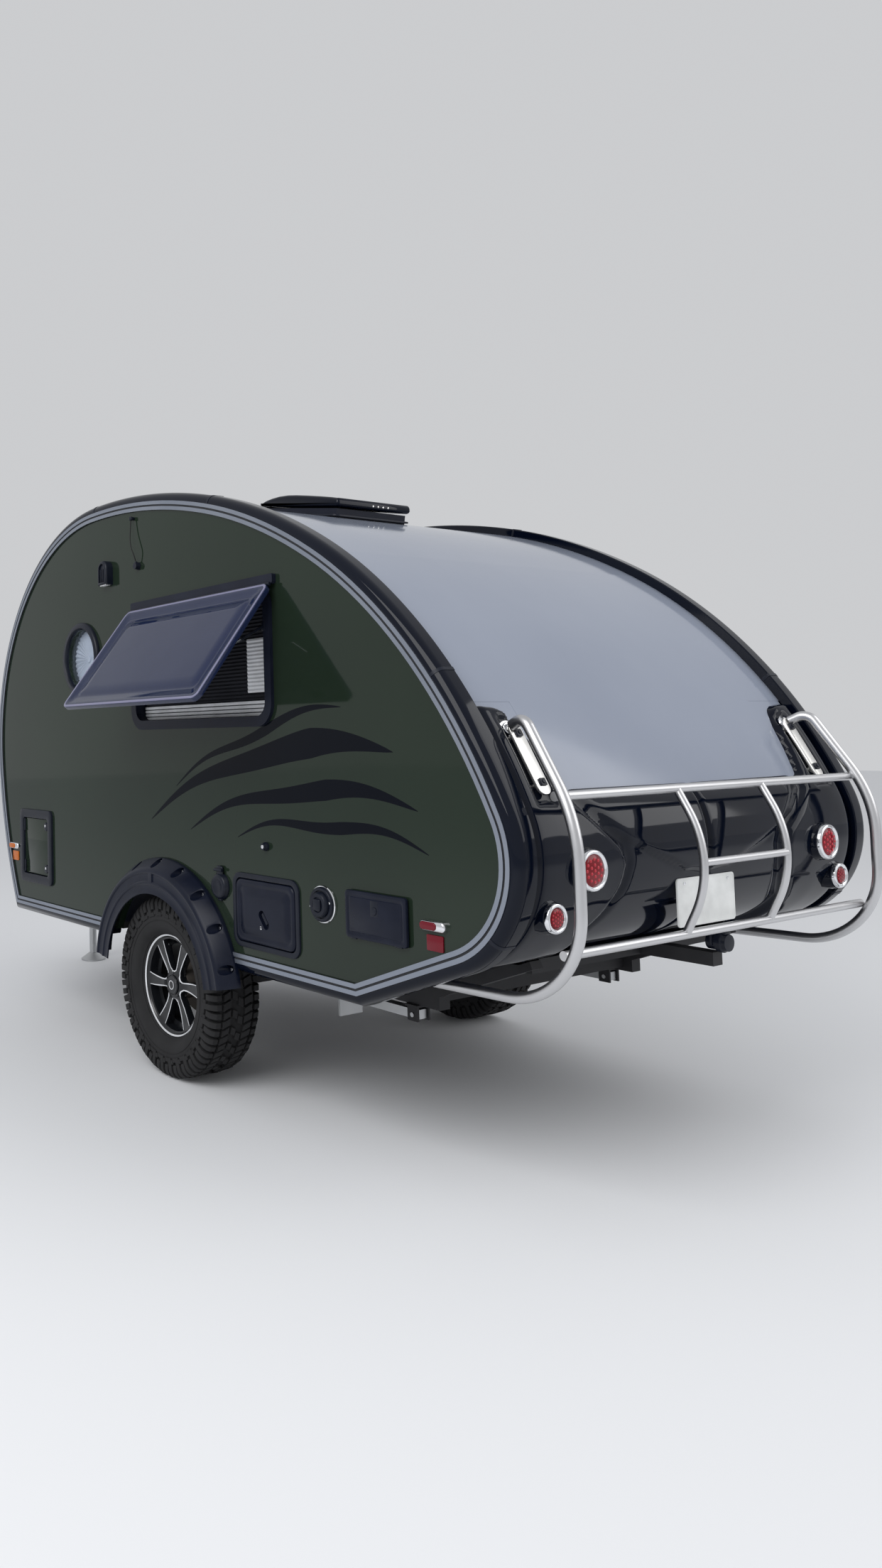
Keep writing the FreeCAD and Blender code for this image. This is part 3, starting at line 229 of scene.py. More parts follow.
LOOKS = {
    paint: {
        "side_panel": ((0.014, 0.024, 0.015), (0.012, 0.020, 0.013), 0.04, 0.05, 0.30),
        "roof_panel": ((0.27, 0.30, 0.37), (0.24, 0.27, 0.34), 0.10, 0.03, 0.45),
        "gloss_black": ((0.002, 0.004, 0.011), (0.0015, 0.003, 0.009), 0.05, 0.02, 0.22),
        "rim": ((0.008, 0.009, 0.011), (0.006, 0.007, 0.009), 0.20, 0.02),
        "bottle_white": ((0.72, 0.72, 0.71), (0.68, 0.68, 0.67), 0.22),
        "lamp_red": ((0.20, 0.002, 0.008), (0.15, 0.001, 0.006), 0.08, 0.02, 0.35),
        "lamp_bead": ((0.50, 0.012, 0.030), (0.40, 0.008, 0.020), 0.20, 0.02),
        "side_lens": ((0.15, 0.002, 0.011), (0.12, 0.0015, 0.008), 0.12, 0.02, 0.35),
        "amber_lens": ((0.60, 0.16, 0.01), (0.50, 0.12, 0.008), 0.16, 0.02),
        # The next colour is a painted highlight: the pale lavender of sky reflected on the sash's curved rim.
        "sash_edge": ((0.19, 0.19, 0.29), (0.16, 0.16, 0.26), 0.08, 0.02),
        "decal": ((0.0025, 0.0035, 0.0075), (0.002, 0.003, 0.006), 0.10, 0.02, 0.10),
    },
    moulding: {
        "matte_black": ((0.005, 0.007, 0.016), 0.38, 0.20, 0.20),
        "floor_panel": ((0.022, 0.022, 0.022), 0.75, 0.40),
        "tyre": ((0.017, 0.017, 0.018), 0.78, 0.40),
        "flare": ((0.003, 0.005, 0.014), 0.26, 0.10, 0.20),
        "bolt": ((0.004, 0.006, 0.013), 0.30, 0.10),
        "steel_black": ((0.018, 0.018, 0.020), 0.50, 0.25),
        "cast": ((0.07, 0.062, 0.055), 0.85, 0.50),
        "blind_fabric": ((0.012, 0.013, 0.018), 0.80, 0.20),
        "plate_blank": ((0.70, 0.71, 0.70), 0.35, 0.05),
        "board": ((0.36, 0.26, 0.16), 0.50, 0.15),
        "cushion": ((0.20, 0.20, 0.21), 0.90, 0.60),
        "cable": ((0.010, 0.010, 0.010), 0.45, 0.10),
        "white_plastic": ((0.66, 0.67, 0.69), 0.42, 0.08),
        "sunburst": ((0.50, 0.56, 0.66), 0.60, 0.10),
    },
    metal: {
        "machined": ((0.90, 0.91, 0.93), 0.22, 0.08, (40, 40, 40)),
        "galvanised": ((0.50, 0.51, 0.52), 0.48, 0.20, (14, 14, 14)),
        "chrome": ((0.82, 0.83, 0.85), 0.08, 0.03, (60, 60, 60)),
        "tube_silver": ((0.60, 0.60, 0.61), 0.34, 0.10, (30, 30, 30)),
        "grip_silver": ((0.86, 0.85, 0.82), 0.30, 0.12, (8, 8, 200)),
    },
    pane: {
        "tinted_pane": ((0.010, 0.018, 0.060), 0.84),
        "clear_pane": ((0.20, 0.24, 0.30), 0.16),
    },
    # The rail's groove floor is painted near black, a painted shade for the groove.
    trim_rail: {"trim_silver": ()},
}
finishes = {name: kind(name, *values) for kind, looks in LOOKS.items() for name, values in looks.items()}
for part in frame["record"]["subparts"]:
    materials = nodes[part["node"]].data.materials
    materials.clear()
    materials.append(finishes[part["material_slot"]])
print(f"{len(finishes)} finishes")


# %% [markdown]
# ## Bench tools
# Every new piece is made as it would be by hand: a primitive is added, shaped in edit mode, and finished
# with modifiers. Its place is kept in its mesh, so that its object stays at the origin.

# %% Bench tools
def only(piece):
    bpy.ops.object.select_all(action="DESELECT")
    piece.select_set(True)
    bpy.context.view_layer.objects.active = piece


def settled(piece):
    """Moves the object's place, turn and size into its mesh."""
    only(piece)
    bpy.ops.object.transform_apply(location=True, rotation=True, scale=True)
    return piece


def added(kind, scale=(1, 1, 1), **settings):
    bpy.ops.object.select_all(action="DESELECT")
    getattr(bpy.ops.mesh, f"primitive_{kind}_add")(**settings)
    bpy.context.object.scale = scale
    return settled(bpy.context.object)


@contextmanager
def editing(piece):
    """Edit mode for the length of a with block, with the whole mesh selected."""
    only(piece)
    bpy.ops.object.mode_set(mode="EDIT")
    bpy.ops.mesh.select_mode(type="VERT")
    bpy.ops.mesh.select_all(action="SELECT")
    yield
    bpy.ops.object.mode_set(mode="OBJECT")


def choose(kind, test):
    """In edit mode, selects only the edges or faces that pass the test."""
    bpy.ops.mesh.select_all(action="DESELECT")
    bpy.ops.mesh.select_mode(type=kind)
    mesh = bmesh.from_edit_mesh(bpy.context.object.data)
    for part in {"EDGE": mesh.edges, "FACE": mesh.faces}[kind]:
        if test(part):
            part.select_set(True)
    mesh.select_flush_mode()
    bmesh.update_edit_mesh(bpy.context.object.data)


def bevel(size, segments):
    bpy.ops.mesh.bevel(offset=size / 1000, segments=segments, affect="EDGES")


def push(x, y, z):
    bpy.ops.mesh.extrude_region_move(TRANSFORM_OT_translate={"value": mm(x, y, z)})


def around(count, hub, axis=(0, 1, 0)):
    """In edit mode, repeats the selection evenly round an axis."""
    bpy.ops.mesh.spin(steps=count - 1, dupli=True, angle=math.tau * (count - 1) / count, center=hub,
                      axis=axis)


def weld():
    bpy.ops.mesh.remove_doubles(threshold=0.00002)


def closed_up():
    """In edit mode, merges corners that meet and turns every face outwards."""
    bpy.ops.mesh.select_all(action="SELECT")
    weld()
    bpy.ops.mesh.normals_make_consistent(inside=False)


def facing(x, y, z):
    """In edit mode, turns an open sheet over if its first face looks away from a direction."""
    if bmesh.from_edit_mesh(bpy.context.object.data).faces[:][0].normal.dot(Vector((x, y, z))) < 0:
        bpy.ops.mesh.flip_normals()


def capped(piece):
    """Fills the open ends of a swept piece."""
    with editing(piece):
        choose("EDGE", lambda edge: edge.is_boundary)
        bpy.ops.mesh.edge_face_add()
        closed_up()


def modify(piece, kind, **settings):
    """Adds a modifier and applies it."""
    only(piece)
    modifier = piece.modifiers.new(kind.title(), kind)
    for key, value in settings.items():
        setattr(modifier, key, value)
    bpy.ops.object.modifier_apply(modifier=modifier.name)
    return piece


def carved(piece, cutter, operation="DIFFERENCE"):
    modify(piece, "BOOLEAN", object=cutter, operation=operation, solver="EXACT")
    bpy.data.objects.remove(cutter)
    return piece


def eased(piece, width, degrees):
    """Breaks the edges that are sharper than an angle."""
    return modify(piece, "BEVEL", width=width / 1000, segments=2, limit_method="ANGLE",
                  angle_limit=math.radians(degrees))


# %% [markdown]
# A few starting shapes cover most fittings. A block is a cube with bevelled edges, and a slab is one that
# lies on a wall. A drum is a cone whose two radii may be equal, and a peg is one that stands out of a
# wall. A turned piece is a line of corners spun about an axis, as on a lathe. A plate is a loop drawn
# flat, filled and pushed out, and a second loop makes a hole in it.


# %% Starting shapes
def joined(pieces):
    """One object out of a piece, or out of a list of them."""
    pieces = pieces if isinstance(pieces, (list, tuple)) else [pieces]
    only(pieces[0])
    for piece in pieces[1:]:
        piece.select_set(True)
    if len(pieces) > 1:
        bpy.ops.object.join()
    return pieces[0]


def block(low, high, rounding=3.0, segments=2):
    piece = added("cube", [abs(part) for part in high - low], size=1, location=(low + high) / 2)
    if rounding:
        with editing(piece):
            bevel(rounding, segments)
    return piece


def slab(x, z, length, height, near, far, *rounding):
    return block(on_side(x - length / 2, z - height / 2, near), on_side(x + length / 2, z + height / 2, far),
                 *rounding)


def drum(start, end, radius, rounding=0.0, sides=48, far_radius=None):
    run = end - start
    piece = added("cone", vertices=sides, radius1=radius / 1000, radius2=(far_radius or radius) / 1000,
                  depth=run.length, location=(start + end) / 2,
                  rotation=run.to_track_quat("Z", "Y").to_euler())
    if rounding:
        with editing(piece):
            choose("FACE", lambda face: len(face.verts) > 4)
            bpy.ops.mesh.region_to_loop()
            bevel(rounding, 3)
    return piece


def peg(x, z, near, far, radius, rounding=1.0, sides=20, spot=on_side):
    return drum(spot(x, z, near), spot(x, z, far), radius, rounding, sides)


def pin(x, z, long, high, depth, radius, *rounding, spot=on_side):
    """A drum that lies along the wall, reaching long and high to each side of its middle."""
    return drum(spot(x - long, z - high, depth), spot(x + long, z + high, depth), radius, *rounding)


def pen(points):
    """A line of corners, each extruded from the one before."""
    piece = added("plane", size=0.01, location=points[0])
    with editing(piece):
        bpy.ops.mesh.merge(type="CENTER")
        for before, after in zip(points, points[1:]):
            bpy.ops.mesh.extrude_vertices_move(TRANSFORM_OT_translate={"value": after - before})
    return piece


def filled(points):
    """A single face with the given corners."""
    piece = pen([*points, points[0]])
    with editing(piece):
        weld()
        bpy.ops.mesh.edge_face_add()
    return piece


def turned(rows, hub, axis=(0, 1, 0), steps=64, base=0.0, sweep=math.tau, out=None):
    """Rows of (distance along the axis beyond the base, radius), spun about the hub."""
    axis = Vector(axis)
    out = Vector(out or axis.orthogonal()).normalized()
    piece = pen([hub + axis * ((base + along) / 1000) + out * (radius / 1000) for along, radius in rows])
    with editing(piece):
        bpy.ops.mesh.spin(steps=steps, angle=sweep, center=hub, axis=axis)
        closed_up()
    return piece


def plate(loops, near, far, spot=on_side, rounding=0.0, segments=2):
    """Loops drawn at depth near and pushed to depth far. The rim of the far face is rounded."""
    piece = joined([pen([spot(a, b, near) for a, b in loop + loop[:1]]) for loop in loops])
    way = spot(0, 0, far) - spot(0, 0, near)
    with editing(piece):
        weld()
        if len(loops) > 1:
            bpy.ops.mesh.bridge_edge_loops()
        else:
            bpy.ops.mesh.edge_face_add()
        bpy.ops.mesh.select_all(action="SELECT")
        push(*(1000 * way))
        closed_up()
        if rounding:
            aim = way.normalized()
            level = aim.dot(spot(0, 0, far))
            choose("EDGE", lambda edge: len(edge.link_faces) == 2 and edge.calc_face_angle() > 1
                   and all(abs(aim.dot(corner.co) - level) < 0.0001 for corner in edge.verts))
            bevel(rounding, segments)
    return piece


def rounded(x, z, length, height, radius, steps=6):
    """A rectangle with round corners, as a loop of (x, z)."""
    loop = []
    for across, upward, start in ((1, 1, 0), (-1, 1, 90), (-1, -1, 180), (1, -1, 270)):
        for step in range(steps + 1):
            angle = math.radians(start + 90 * step / steps)
            loop.append((x + across * (length / 2 - radius) + radius * math.cos(angle),
                         z + upward * (height / 2 - radius) + radius * math.sin(angle)))
    return loop


def pressed(x, z, length, height, radius, near, steps):
    """A rounded panel on the side wall, pushed out and drawn in at each step of (depth, shrink)."""
    piece = filled([on_side(a, b, near) for a, b in rounded(x, z, length, height, radius)])
    last_depth, last_shrink = near, 0
    with editing(piece):
        for depth, shrink in steps:
            push(0, depth - last_depth, 0)
            wide, tall = ((part - 2 * shrink) / (part - 2 * last_shrink) for part in (length, height))
            bpy.ops.transform.resize(value=(wide, 1, tall), center_override=on_side(x, z, near))
            last_depth, last_shrink = depth, shrink
        closed_up()
    return piece


# %% [markdown]
# Repeats are modelled once and copied. A copy for the other side is scaled by minus one across the
# trailer, which turns it inside out, so its faces are turned outwards again. Fitting a piece gives it a
# name, a finish and the body that it moves with. Most small fittings are black and belong to the cabin.


# %% Copies and fitting
made = []


def flipped(piece):
    with editing(piece):
        bpy.ops.transform.resize(value=(1, -1, 1), center_override=(0, 0, 0))
        bpy.ops.mesh.flip_normals()
    return piece


def other_side(piece):
    only(piece)
    bpy.ops.object.duplicate()
    return flipped(bpy.context.object)


def moved(piece, shift=(0, 0, 0), degrees=0.0, axis="Z", pivot=(0, 0, 0)):
    """Turns a piece about a pivot, then shifts it."""
    turn = Matrix.Rotation(math.radians(degrees), 4, axis)
    pivot = Vector(pivot)
    piece.matrix_world = Matrix.Translation(pivot + Vector(shift)) @ turn @ Matrix.Translation(-pivot)
    return settled(piece)


def fit(name, pieces, slot="matte_black", *replaced, body="trailer", finish=None, angle=35):
    """Joins pieces under a name and fastens them to the body that they move with."""
    piece = joined(pieces)
    piece.name = name
    piece.data.materials.clear()
    piece.data.materials.append(finishes[finish or ("bolt" if slot == "matte_black" else slot)])
    bpy.ops.object.shade_smooth_by_angle(angle=math.radians(angle))
    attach(piece, body)
    if replaced:
        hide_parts(*replaced)
    made.append(piece)
    return piece


def both(name, pieces, slot="matte_black", *replaced, **options):
    """Fits a left-hand piece and its copy on the right."""
    piece = joined(pieces)
    fit(name + "_right", other_side(piece), slot, **options)
    return fit(name, piece, slot, *replaced, **options)


def wheels(name, piece, slot, *replaced, **options):
    """Fits a piece to the left wheel and its copy to the right one."""
    copy = other_side(piece)
    for side, one in (("left", piece), ("right", copy)):
        fit(f"{side}_{name}", one, slot, *(f"{side}_{part}" for part in replaced), body=side + "_wheel",
            **options)


# %% [markdown]
# ## Tyres
# An all-terrain tyre is a smooth carcass with blocks of rubber on it. The carcass is turned from its
# section. One pitch of the tread is modelled at the top of the tyre: two staggered centre blocks, two
# rows beside them and shoulder blocks on each side that run down on to the sidewall. Spinning duplicates
# of that pitch about the axle gives the whole tread.

# %% Tyre carcass
TYRE_Y, TYRE_RADIUS, PITCHES = 814, 367, 32
HUB = at(0, TYRE_Y, AXLE_Z)
outer_wall = [(64, 191.2), (66, 208.6), (80, 209.5), (84, 214), (88, 214.5), (90, 218), (99, 224), (108, 240),
              (113, 262), (114, 276), (111, 294), (106, 311), (97, 331), (89, 343), (80, 350), (40, 354.5)]
section = outer_wall + [(0, 355.5)] + [(-y, radius) for y, radius in reversed(outer_wall)]
section += [(-60, 191.2), (-100, 250), (-88, 336), (88, 336), (100, 250), (60, 191.2), outer_wall[0]]
carcass = turned(section, HUB, steps=96)
wall_rib = turned([(105, 264), (115.2, 266), (115.2, 268), (105, 270), (105, 264)], HUB, steps=96)


# %% Tread blocks
def lug(across, along, skew):
    """One tread block at the top of the tyre, from across[0] to across[1] and along[0] to along[1]."""
    shape = [(across[0], along[0] - skew), (across[1], along[0] + skew), (across[1], along[1] + skew),
             (across[0], along[1] - skew)]
    piece = filled([HUB + mm(x, y, 348) for y, x in shape])
    with editing(piece):
        push(0, 0, 18.8)
        bpy.ops.transform.resize(value=(0.93, 0.93, 1))
        closed_up()
    return piece


def shoulder(side, low, high, foot):
    """A block that folds over the shoulder and down the sidewall to the radius foot."""
    line = [(78, 366.2), (98, 363.2), (109.5, 353), (116.6, 337), (117.4, foot + 6), (116, foot), (104, foot),
            (92, 331), (78, 346)]
    return plate([line], low, high, lambda y, z, x: HUB + mm(x, side * y, z))


pitch = math.tau * TYRE_RADIUS / PITCHES
lugs = [lug(across, (low * pitch, high * pitch), skew) for across, low, high, skew in (
    ((-24, 0), -0.40, 0.06, 6), ((2, 26), -0.02, 0.44, 6), ((32, 70), -0.46, -0.06, -7),
    ((34, 66), 0.04, 0.42, -7), ((-70, -30), -0.30, 0.10, -7), ((-66, -32), 0.20, 0.58, -7))]
lugs += [shoulder(side, low * pitch, high * pitch, foot) for side, low, high, foot in (
    (1, -0.46, -0.16, 284), (1, 0.04, 0.34, 312), (-1, -0.22, 0.08, 284), (-1, 0.28, 0.58, 312))]
# Side biters step from the long shoulder blocks to the short ones.
lugs += [block(HUB + mm((start + low) * pitch, side * 100, foot),
               HUB + mm((start + high) * pitch, side * 116.8, top), 1.2)
         for side, start in ((1, -0.17), (-1, 0.07))
         for low, high, foot, top in ((0, 0.20, 291, 309), (0.24, 0.60, 284, 300))]
tread = joined(lugs)
with editing(tread):
    around(PITCHES, HUB)
tyre = joined([carcass, wall_rib, tread])
print("tyre with tread", len(tyre.data.polygons), "faces")
wheels("tyre_tread", tyre, "tyre", "tyre", angle=30)

# %% [markdown]
# ## Rims
# The rims are black alloy with a bright machined line round each window and round the lip. The barrel and
# the dished disc are turned as one piece, the six windows are cut through it with a boolean, and the
# bright lines are a thin skin turned to the same dish, kept only between a wider window and the window.


# %% Rim shape
def spoke_windows(grow, low, high):
    """Six windows with a round foot and one bowed side, grown outwards, as prisms along the axle."""
    loop = [(-7, 58), (-16, 64), (-22, 78), (-32, 104), (-48, 138), (-68, 174), (-52, 179.5), (-26, 185),
            (0, 186.8), (26, 185), (52, 179.5), (70, 173), (62, 148), (50, 118), (37, 90), (24, 69), (8, 58)]
    grown = [Vector(point) + (Vector(point) - Vector((0, 125))).normalized() * grow for point in loop]
    piece = plate([[tuple(point) for point in grown]], low, high, lambda x, z, y: HUB + mm(x, y, z))
    with editing(piece):
        around(6, HUB)
    return piece


FACE = 78
disc = turned([(-156, 208), (-156, 182.5), (-96, 170.5), (-60, 170.5), (-46, 156), (-46, 1), (-12, 1),
               (-12, 50), (-18, 60), (-17, 110), (-14, 160), (-12, 190), (-8, 195), (-2, 199), (0, 203.5),
               (0, 207.5), (-6, 208), (-12, 190.5), (-144, 190.5), (-148, 208), (-156, 208)],
              HUB, steps=96, base=FACE)
disc = eased(carved(disc, spoke_windows(0, FACE - 52, FACE + 20)), 1.6, 50)
cap = turned([(-14, 0), (-14, 41), (-6, 40), (-3, 36), (-4.5, 30), (-2, 18), (-1.2, 0)], HUB, steps=48,
             base=FACE)
nuts = drum(HUB + mm(0, FACE - 20, 48.5), HUB + mm(0, FACE - 10, 48.5), 6.2, 1.2, 6)
with editing(nuts):
    around(5, HUB)
valve = drum(HUB + mm(30, FACE - 50, 172), HUB + mm(30, FACE - 12, 160), 4, 1, 16)
wheels("rim_disc", joined([disc, cap, nuts, valve]), "rim", "rim")
print("rim", len(made[-1].data.polygons), "faces")

# %% Machined lines
lines = turned([(-21, 48), (-9.5, 48), (-16.4, 60), (-15.5, 110), (-12.5, 160), (-10.8, 184.5),
                (-16, 184.5), (-21, 48)], HUB, steps=96, base=FACE)
lines = carved(lines, spoke_windows(5.8, FACE - 50, FACE), "INTERSECT")
lines = carved(lines, spoke_windows(0.4, FACE - 60, FACE + 10))
lip = turned([(-2, 198.5), (0.8, 202), (1.2, 205), (-1, 208.4), (-5, 208.4), (-2, 198.5)], HUB, steps=96,
             base=FACE)
badge_ring = turned([(-4, 14.5), (-0.8, 15.2), (-0.8, 18.5), (-4, 19.2), (-4, 14.5)], HUB, steps=48,
                    base=FACE)
wheels("rim_lines", joined([lines, lip, badge_ring]), "rim", finish="machined")
print("machined lines", len(made[-1].data.polygons), "faces")

# %% [markdown]
# ## Wheel flares
# Each flare is a moulding turned about the axle through a little less than half a turn. Its section is a
# sloping shoulder over a tall face with a raised line along it and a web at the top. Bolt pockets are cut
# along the shoulder and a hexagon bolt with a washer sits in each.

# %% Wheel flares
FLARE_RADIUS, BOLT_RADIUS, BOLTS = 523, 505.5, 9
flare_rows = [(0, FLARE_RADIUS), (14, FLARE_RADIUS), (18, 521), (66, 490), (74, 482), (78, 474), (78, 466),
              (76, 463), (73.5, 461), (73.5, 432), (77.8, 427), (77.8, 420), (74, 416), (74, 386), (76, 380),
              (70, 380), (68, 400), (68, 464), (58, 478), (0, 478), (0, FLARE_RADIUS)]
start = (math.cos(math.radians(9)), 0, math.sin(math.radians(9)))
flare = turned(flare_rows, HUB, steps=72, base=WALL_Y - TYRE_Y, sweep=math.radians(162), out=start)
capped(flare)
pockets, washers, bolts = [], [], []
for count in range(BOLTS):
    angle = math.radians(17 + 18.25 * count)
    foot = HUB + mm(-BOLT_RADIUS * math.cos(angle), 0, BOLT_RADIUS * math.sin(angle))
    foot.y = WALL_Y / 1000
    pockets.append(drum(foot + mm(0, 11, 0), foot + mm(0, 90, 0), 16.5, sides=24, far_radius=21))
    washers.append(drum(foot + mm(0, 11, 0), foot + mm(0, 13.5, 0), 11.5, 0.6, 24))
    bolts.append(drum(foot + mm(0, 13.5, 0), foot + mm(0, 21, 0), 7.2, 1, 6))
flare = carved(flare, joined(pockets))
flare = carved(flare, slab(0, AXLE_Z + 446, 26, 44, WALL_Y + 69, WALL_Y + 77.8, 0), "UNION")
both("left_flare", eased(flare, 1.5, 40), "matte_black", "wheel_flares", finish="flare")
both("flare_washers", washers)
both("flare_bolts", bolts, finish="chrome")
print("flare", len(flare.data.polygons), "faces and", BOLTS, "bolts")

# %% [markdown]
# ## Outline
# The cabin's outline is seven arcs that run from the front foot, over the roof and round the tail, and a
# straight slope under it. Following the arcs gives a place and an outward direction for anything that
# sits on the roof or the tail.

# %% Outline
BENDS = ((2167, 19.81), (1050, 37.04), (1099, 57.93), (3409, 15.90), (2596, 15.53), (1990, 34.38),
         (326, 93.08))
FOOT_X, FOOT_Z, STEP = 1461, 540, 4


def followed():
    """Rows of (distance run, x, z, outward x, outward z) from the front foot to the rear foot."""
    x, z, heading, run, rows = FOOT_X, FOOT_Z, math.radians(64.8), 0.0, []
    for radius, turn in BENDS:
        count = math.ceil(radius * math.radians(turn) / STEP)
        bit = math.radians(turn) / count
        for _ in range(count):
            rows.append((run, x, z, math.sin(heading), -math.cos(heading)))
            x += radius * (math.sin(heading + bit) - math.sin(heading))
            z -= radius * (math.cos(heading + bit) - math.cos(heading))
            heading += bit
            run += radius * bit
    for length in (0, (FOOT_Z - z) / math.sin(heading)):
        rows.append((run + length, x + math.cos(heading) * length, z + math.sin(heading) * length,
                     math.sin(heading), -math.cos(heading)))
    return numpy.array(rows)


OUTLINE = followed()
BACK_X = OUTLINE[:, 1].min()


def outline_at(run):
    """The x, z, outward x and outward z of the outline."""
    return [numpy.interp(run, OUTLINE[:, 0], OUTLINE[:, column]) for column in (1, 2, 3, 4)]


def run_at(z):
    """The distance run at which the rear of the outline passes the height z."""
    rows = OUTLINE[OUTLINE[:, 2].argmax():][::-1]
    return numpy.interp(z, rows[:, 2], rows[:, 0])


def run_over(x):
    """The distance run at which the roof passes x."""
    return OUTLINE[abs(OUTLINE[:, 1] - x).argmin(), 0]


print(f"outline {OUTLINE[-1, 0]:.0f} mm long")

# %% [markdown]
# ## Tail moulding
# The gloss moulding across the tail is one sheet that rises into a pod at each corner, dips along a
# groove beside each pod and creases along a wide V in the middle. A fine grid is laid on the outline and
# each corner is moved out by a height. The heights come from how far the corner lies inside a few
# outlines drawn on the tail, which gives soft shoulders where a boolean would leave hard steps.

# %% Tail heights
SHOULDER = [(900, 1482), (800, 1474), (745, 1468), (712, 1454), (689, 1430)]
FOOTPRINT = SHOULDER + [(668, 1385), (628, 1218), (0, 1215), (0, 0), (900, 0)]
POD = SHOULDER + [(664, 1385), (622, 1218), (600, 1168), (521, 1104), (443, 1044), (416, 992), (434, 925),
                  (471, 859), (517, 802), (507, 733), (507, 0), (900, 0)]
SHIELD = [(700, 1260), (603, 1168), (514, 1099), (293, 1012), (116, 948), (-100, 932), (-100, 1260)]
RECESS = [(690, 1425), (765, 1425), (772, 1165), (684, 1165)]
HALF_TAIL, TAIL_TOP, TAIL_END, SUNK = 831, 1500, 6307, -8


def depth_inside(y, z, outline):
    """How far each corner lies inside an outline, negative where it lies outside."""
    nearest, odd = numpy.full(y.shape, 9000.0), numpy.zeros(y.shape, bool)
    for (a, b), (c, d) in zip(outline, outline[1:] + outline[:1]):
        part = numpy.clip(((y - a) * (c - a) + (z - b) * (d - b)) / ((c - a) ** 2 + (d - b) ** 2), 0, 1)
        nearest = numpy.minimum(nearest, numpy.hypot(y - a - part * (c - a), z - b - part * (d - b)))
        odd ^= ((b > z) != (d > z)) & (y < (c - a) * (z - b) / ((d - b) or 1) + a)
    return numpy.where(odd, nearest, -nearest)


def rise(value, low, high):
    part = numpy.clip((value - low) / (high - low), 0, 1)
    return part * part * (3 - 2 * part)


def tail_height(y, z):
    across = abs(y)
    foot, pod, shield, recess = (depth_inside(across, z, outline)
                                 for outline in (FOOTPRINT, POD, SHIELD, RECESS))
    middle = 5 + 12 * rise(shield, -3, 5) - 9 * rise(z, 1148, 1204)
    middle = numpy.maximum(middle - 9 * rise(pod, -50, -14), -5)
    edge = rise(HALF_TAIL + 1 - across, 0, 30) * rise(z, 655, 730)
    pods = 13 + (12 + 3 * rise(pod, 30, 150)) * edge - 15 * rise(recess, -4, 10)
    height = middle + (pods - middle) * rise(pod, -6, 22)
    return SUNK + (height - SUNK) * rise(foot, 0, 10 + 13 * rise(across, 600, 660))


# %% Tail moulding
fascia = added("grid", x_subdivisions=208, y_subdivisions=172, size=1)
corners = numpy.empty(len(fascia.data.vertices) * 3)
fascia.data.vertices.foreach_get("co", corners)
corners = corners.reshape(-1, 3)
spread_y = corners[:, 0] * 2 * HALF_TAIL
x, z, out_x, out_z = outline_at(run_at(TAIL_TOP) + (corners[:, 1] + 0.5) * (TAIL_END - run_at(TAIL_TOP)))
lift = tail_height(spread_y, z)
laid = numpy.stack([(x + out_x * lift) / 1000 + axle[0], spread_y / 1000, (z + out_z * lift) / 1000], axis=1)
fascia.data.vertices.foreach_set("co", laid.ravel())
with editing(fascia):
    choose("FACE", lambda face: max(lift[corner.index] for corner in face.verts) < SUNK + 1.5)
    bpy.ops.mesh.delete(type="FACE")
    bpy.ops.mesh.select_all(action="SELECT")
    facing(-1, 0, 0)
modify(fascia, "SMOOTH", factor=0.5, iterations=3)
modify(fascia, "SOLIDIFY", thickness=0.014, offset=-1.0)
fit("rear_moulding", fascia, "gloss_black", "rear_fascia", angle=60)
print("tail moulding", len(fascia.data.polygons), "faces")

# %% Roof skin beside the pods
corner_skin = added("grid", x_subdivisions=8, y_subdivisions=40, size=1)
for corner in corner_skin.data.vertices:
    x, z, out_x, out_z = outline_at(run_at(1530) + (corner.co.y + 0.5) * (run_at(1170) - run_at(1530)))
    corner.co = at(x - 0.6 * out_x, 716 + corner.co.x * 232, z - 0.6 * out_z)
with editing(corner_skin):
    facing(-1, 0, 0)
modify(corner_skin, "SOLIDIFY", thickness=0.004, offset=-1.0)
both("roof_corners", corner_skin, "roof_panel")

# %% [markdown]
# ## Tail lamps, grips and plate
# Each lamp is a short black barrel, a wide chrome bezel and a domed red lens over rings of small
# reflector beads. The grips are flat bars with two square-headed bolts.


# %% Tail lamps
def tail_lamp(y, z, lens, reach, rings):
    hub = at(outline_at(run_at(z))[0] - reach, y, z)
    barrel = [(-108, 0), (-108, lens + 20), (-30, lens + 20), (-24, lens + 17.5), (-12, lens + 16.5),
              (-8, lens + 12), (-8, 0)]
    bezel = [(-14, lens + 14), (-2, lens + 14), (2.5, lens + 11.5), (4, lens + 7.5), (2.5, lens + 3),
             (-3, lens - 0.5), (-10, lens - 1), (-14, lens + 14)]
    dome = [(-12, 0), (-12, lens), (-3, lens), (0.4, lens * 0.90), (2, lens * 0.6), (3, lens * 0.3), (3.2, 0)]
    beads = []
    for count, radius in rings:
        bead = added("uv_sphere", segments=16, ring_count=8, radius=lens * 0.115 / 1000, scale=(0.5, 1, 1),
                     location=hub + mm(3 * (radius / lens) ** 2 - 2.2, 0, radius))
        if count > 1:
            with editing(bead):
                around(count, hub, (1, 0, 0))
        beads.append(bead)
    return [turned(rows, hub, (-1, 0, 0)) for rows in (barrel, bezel, dome)] + [joined(beads)]


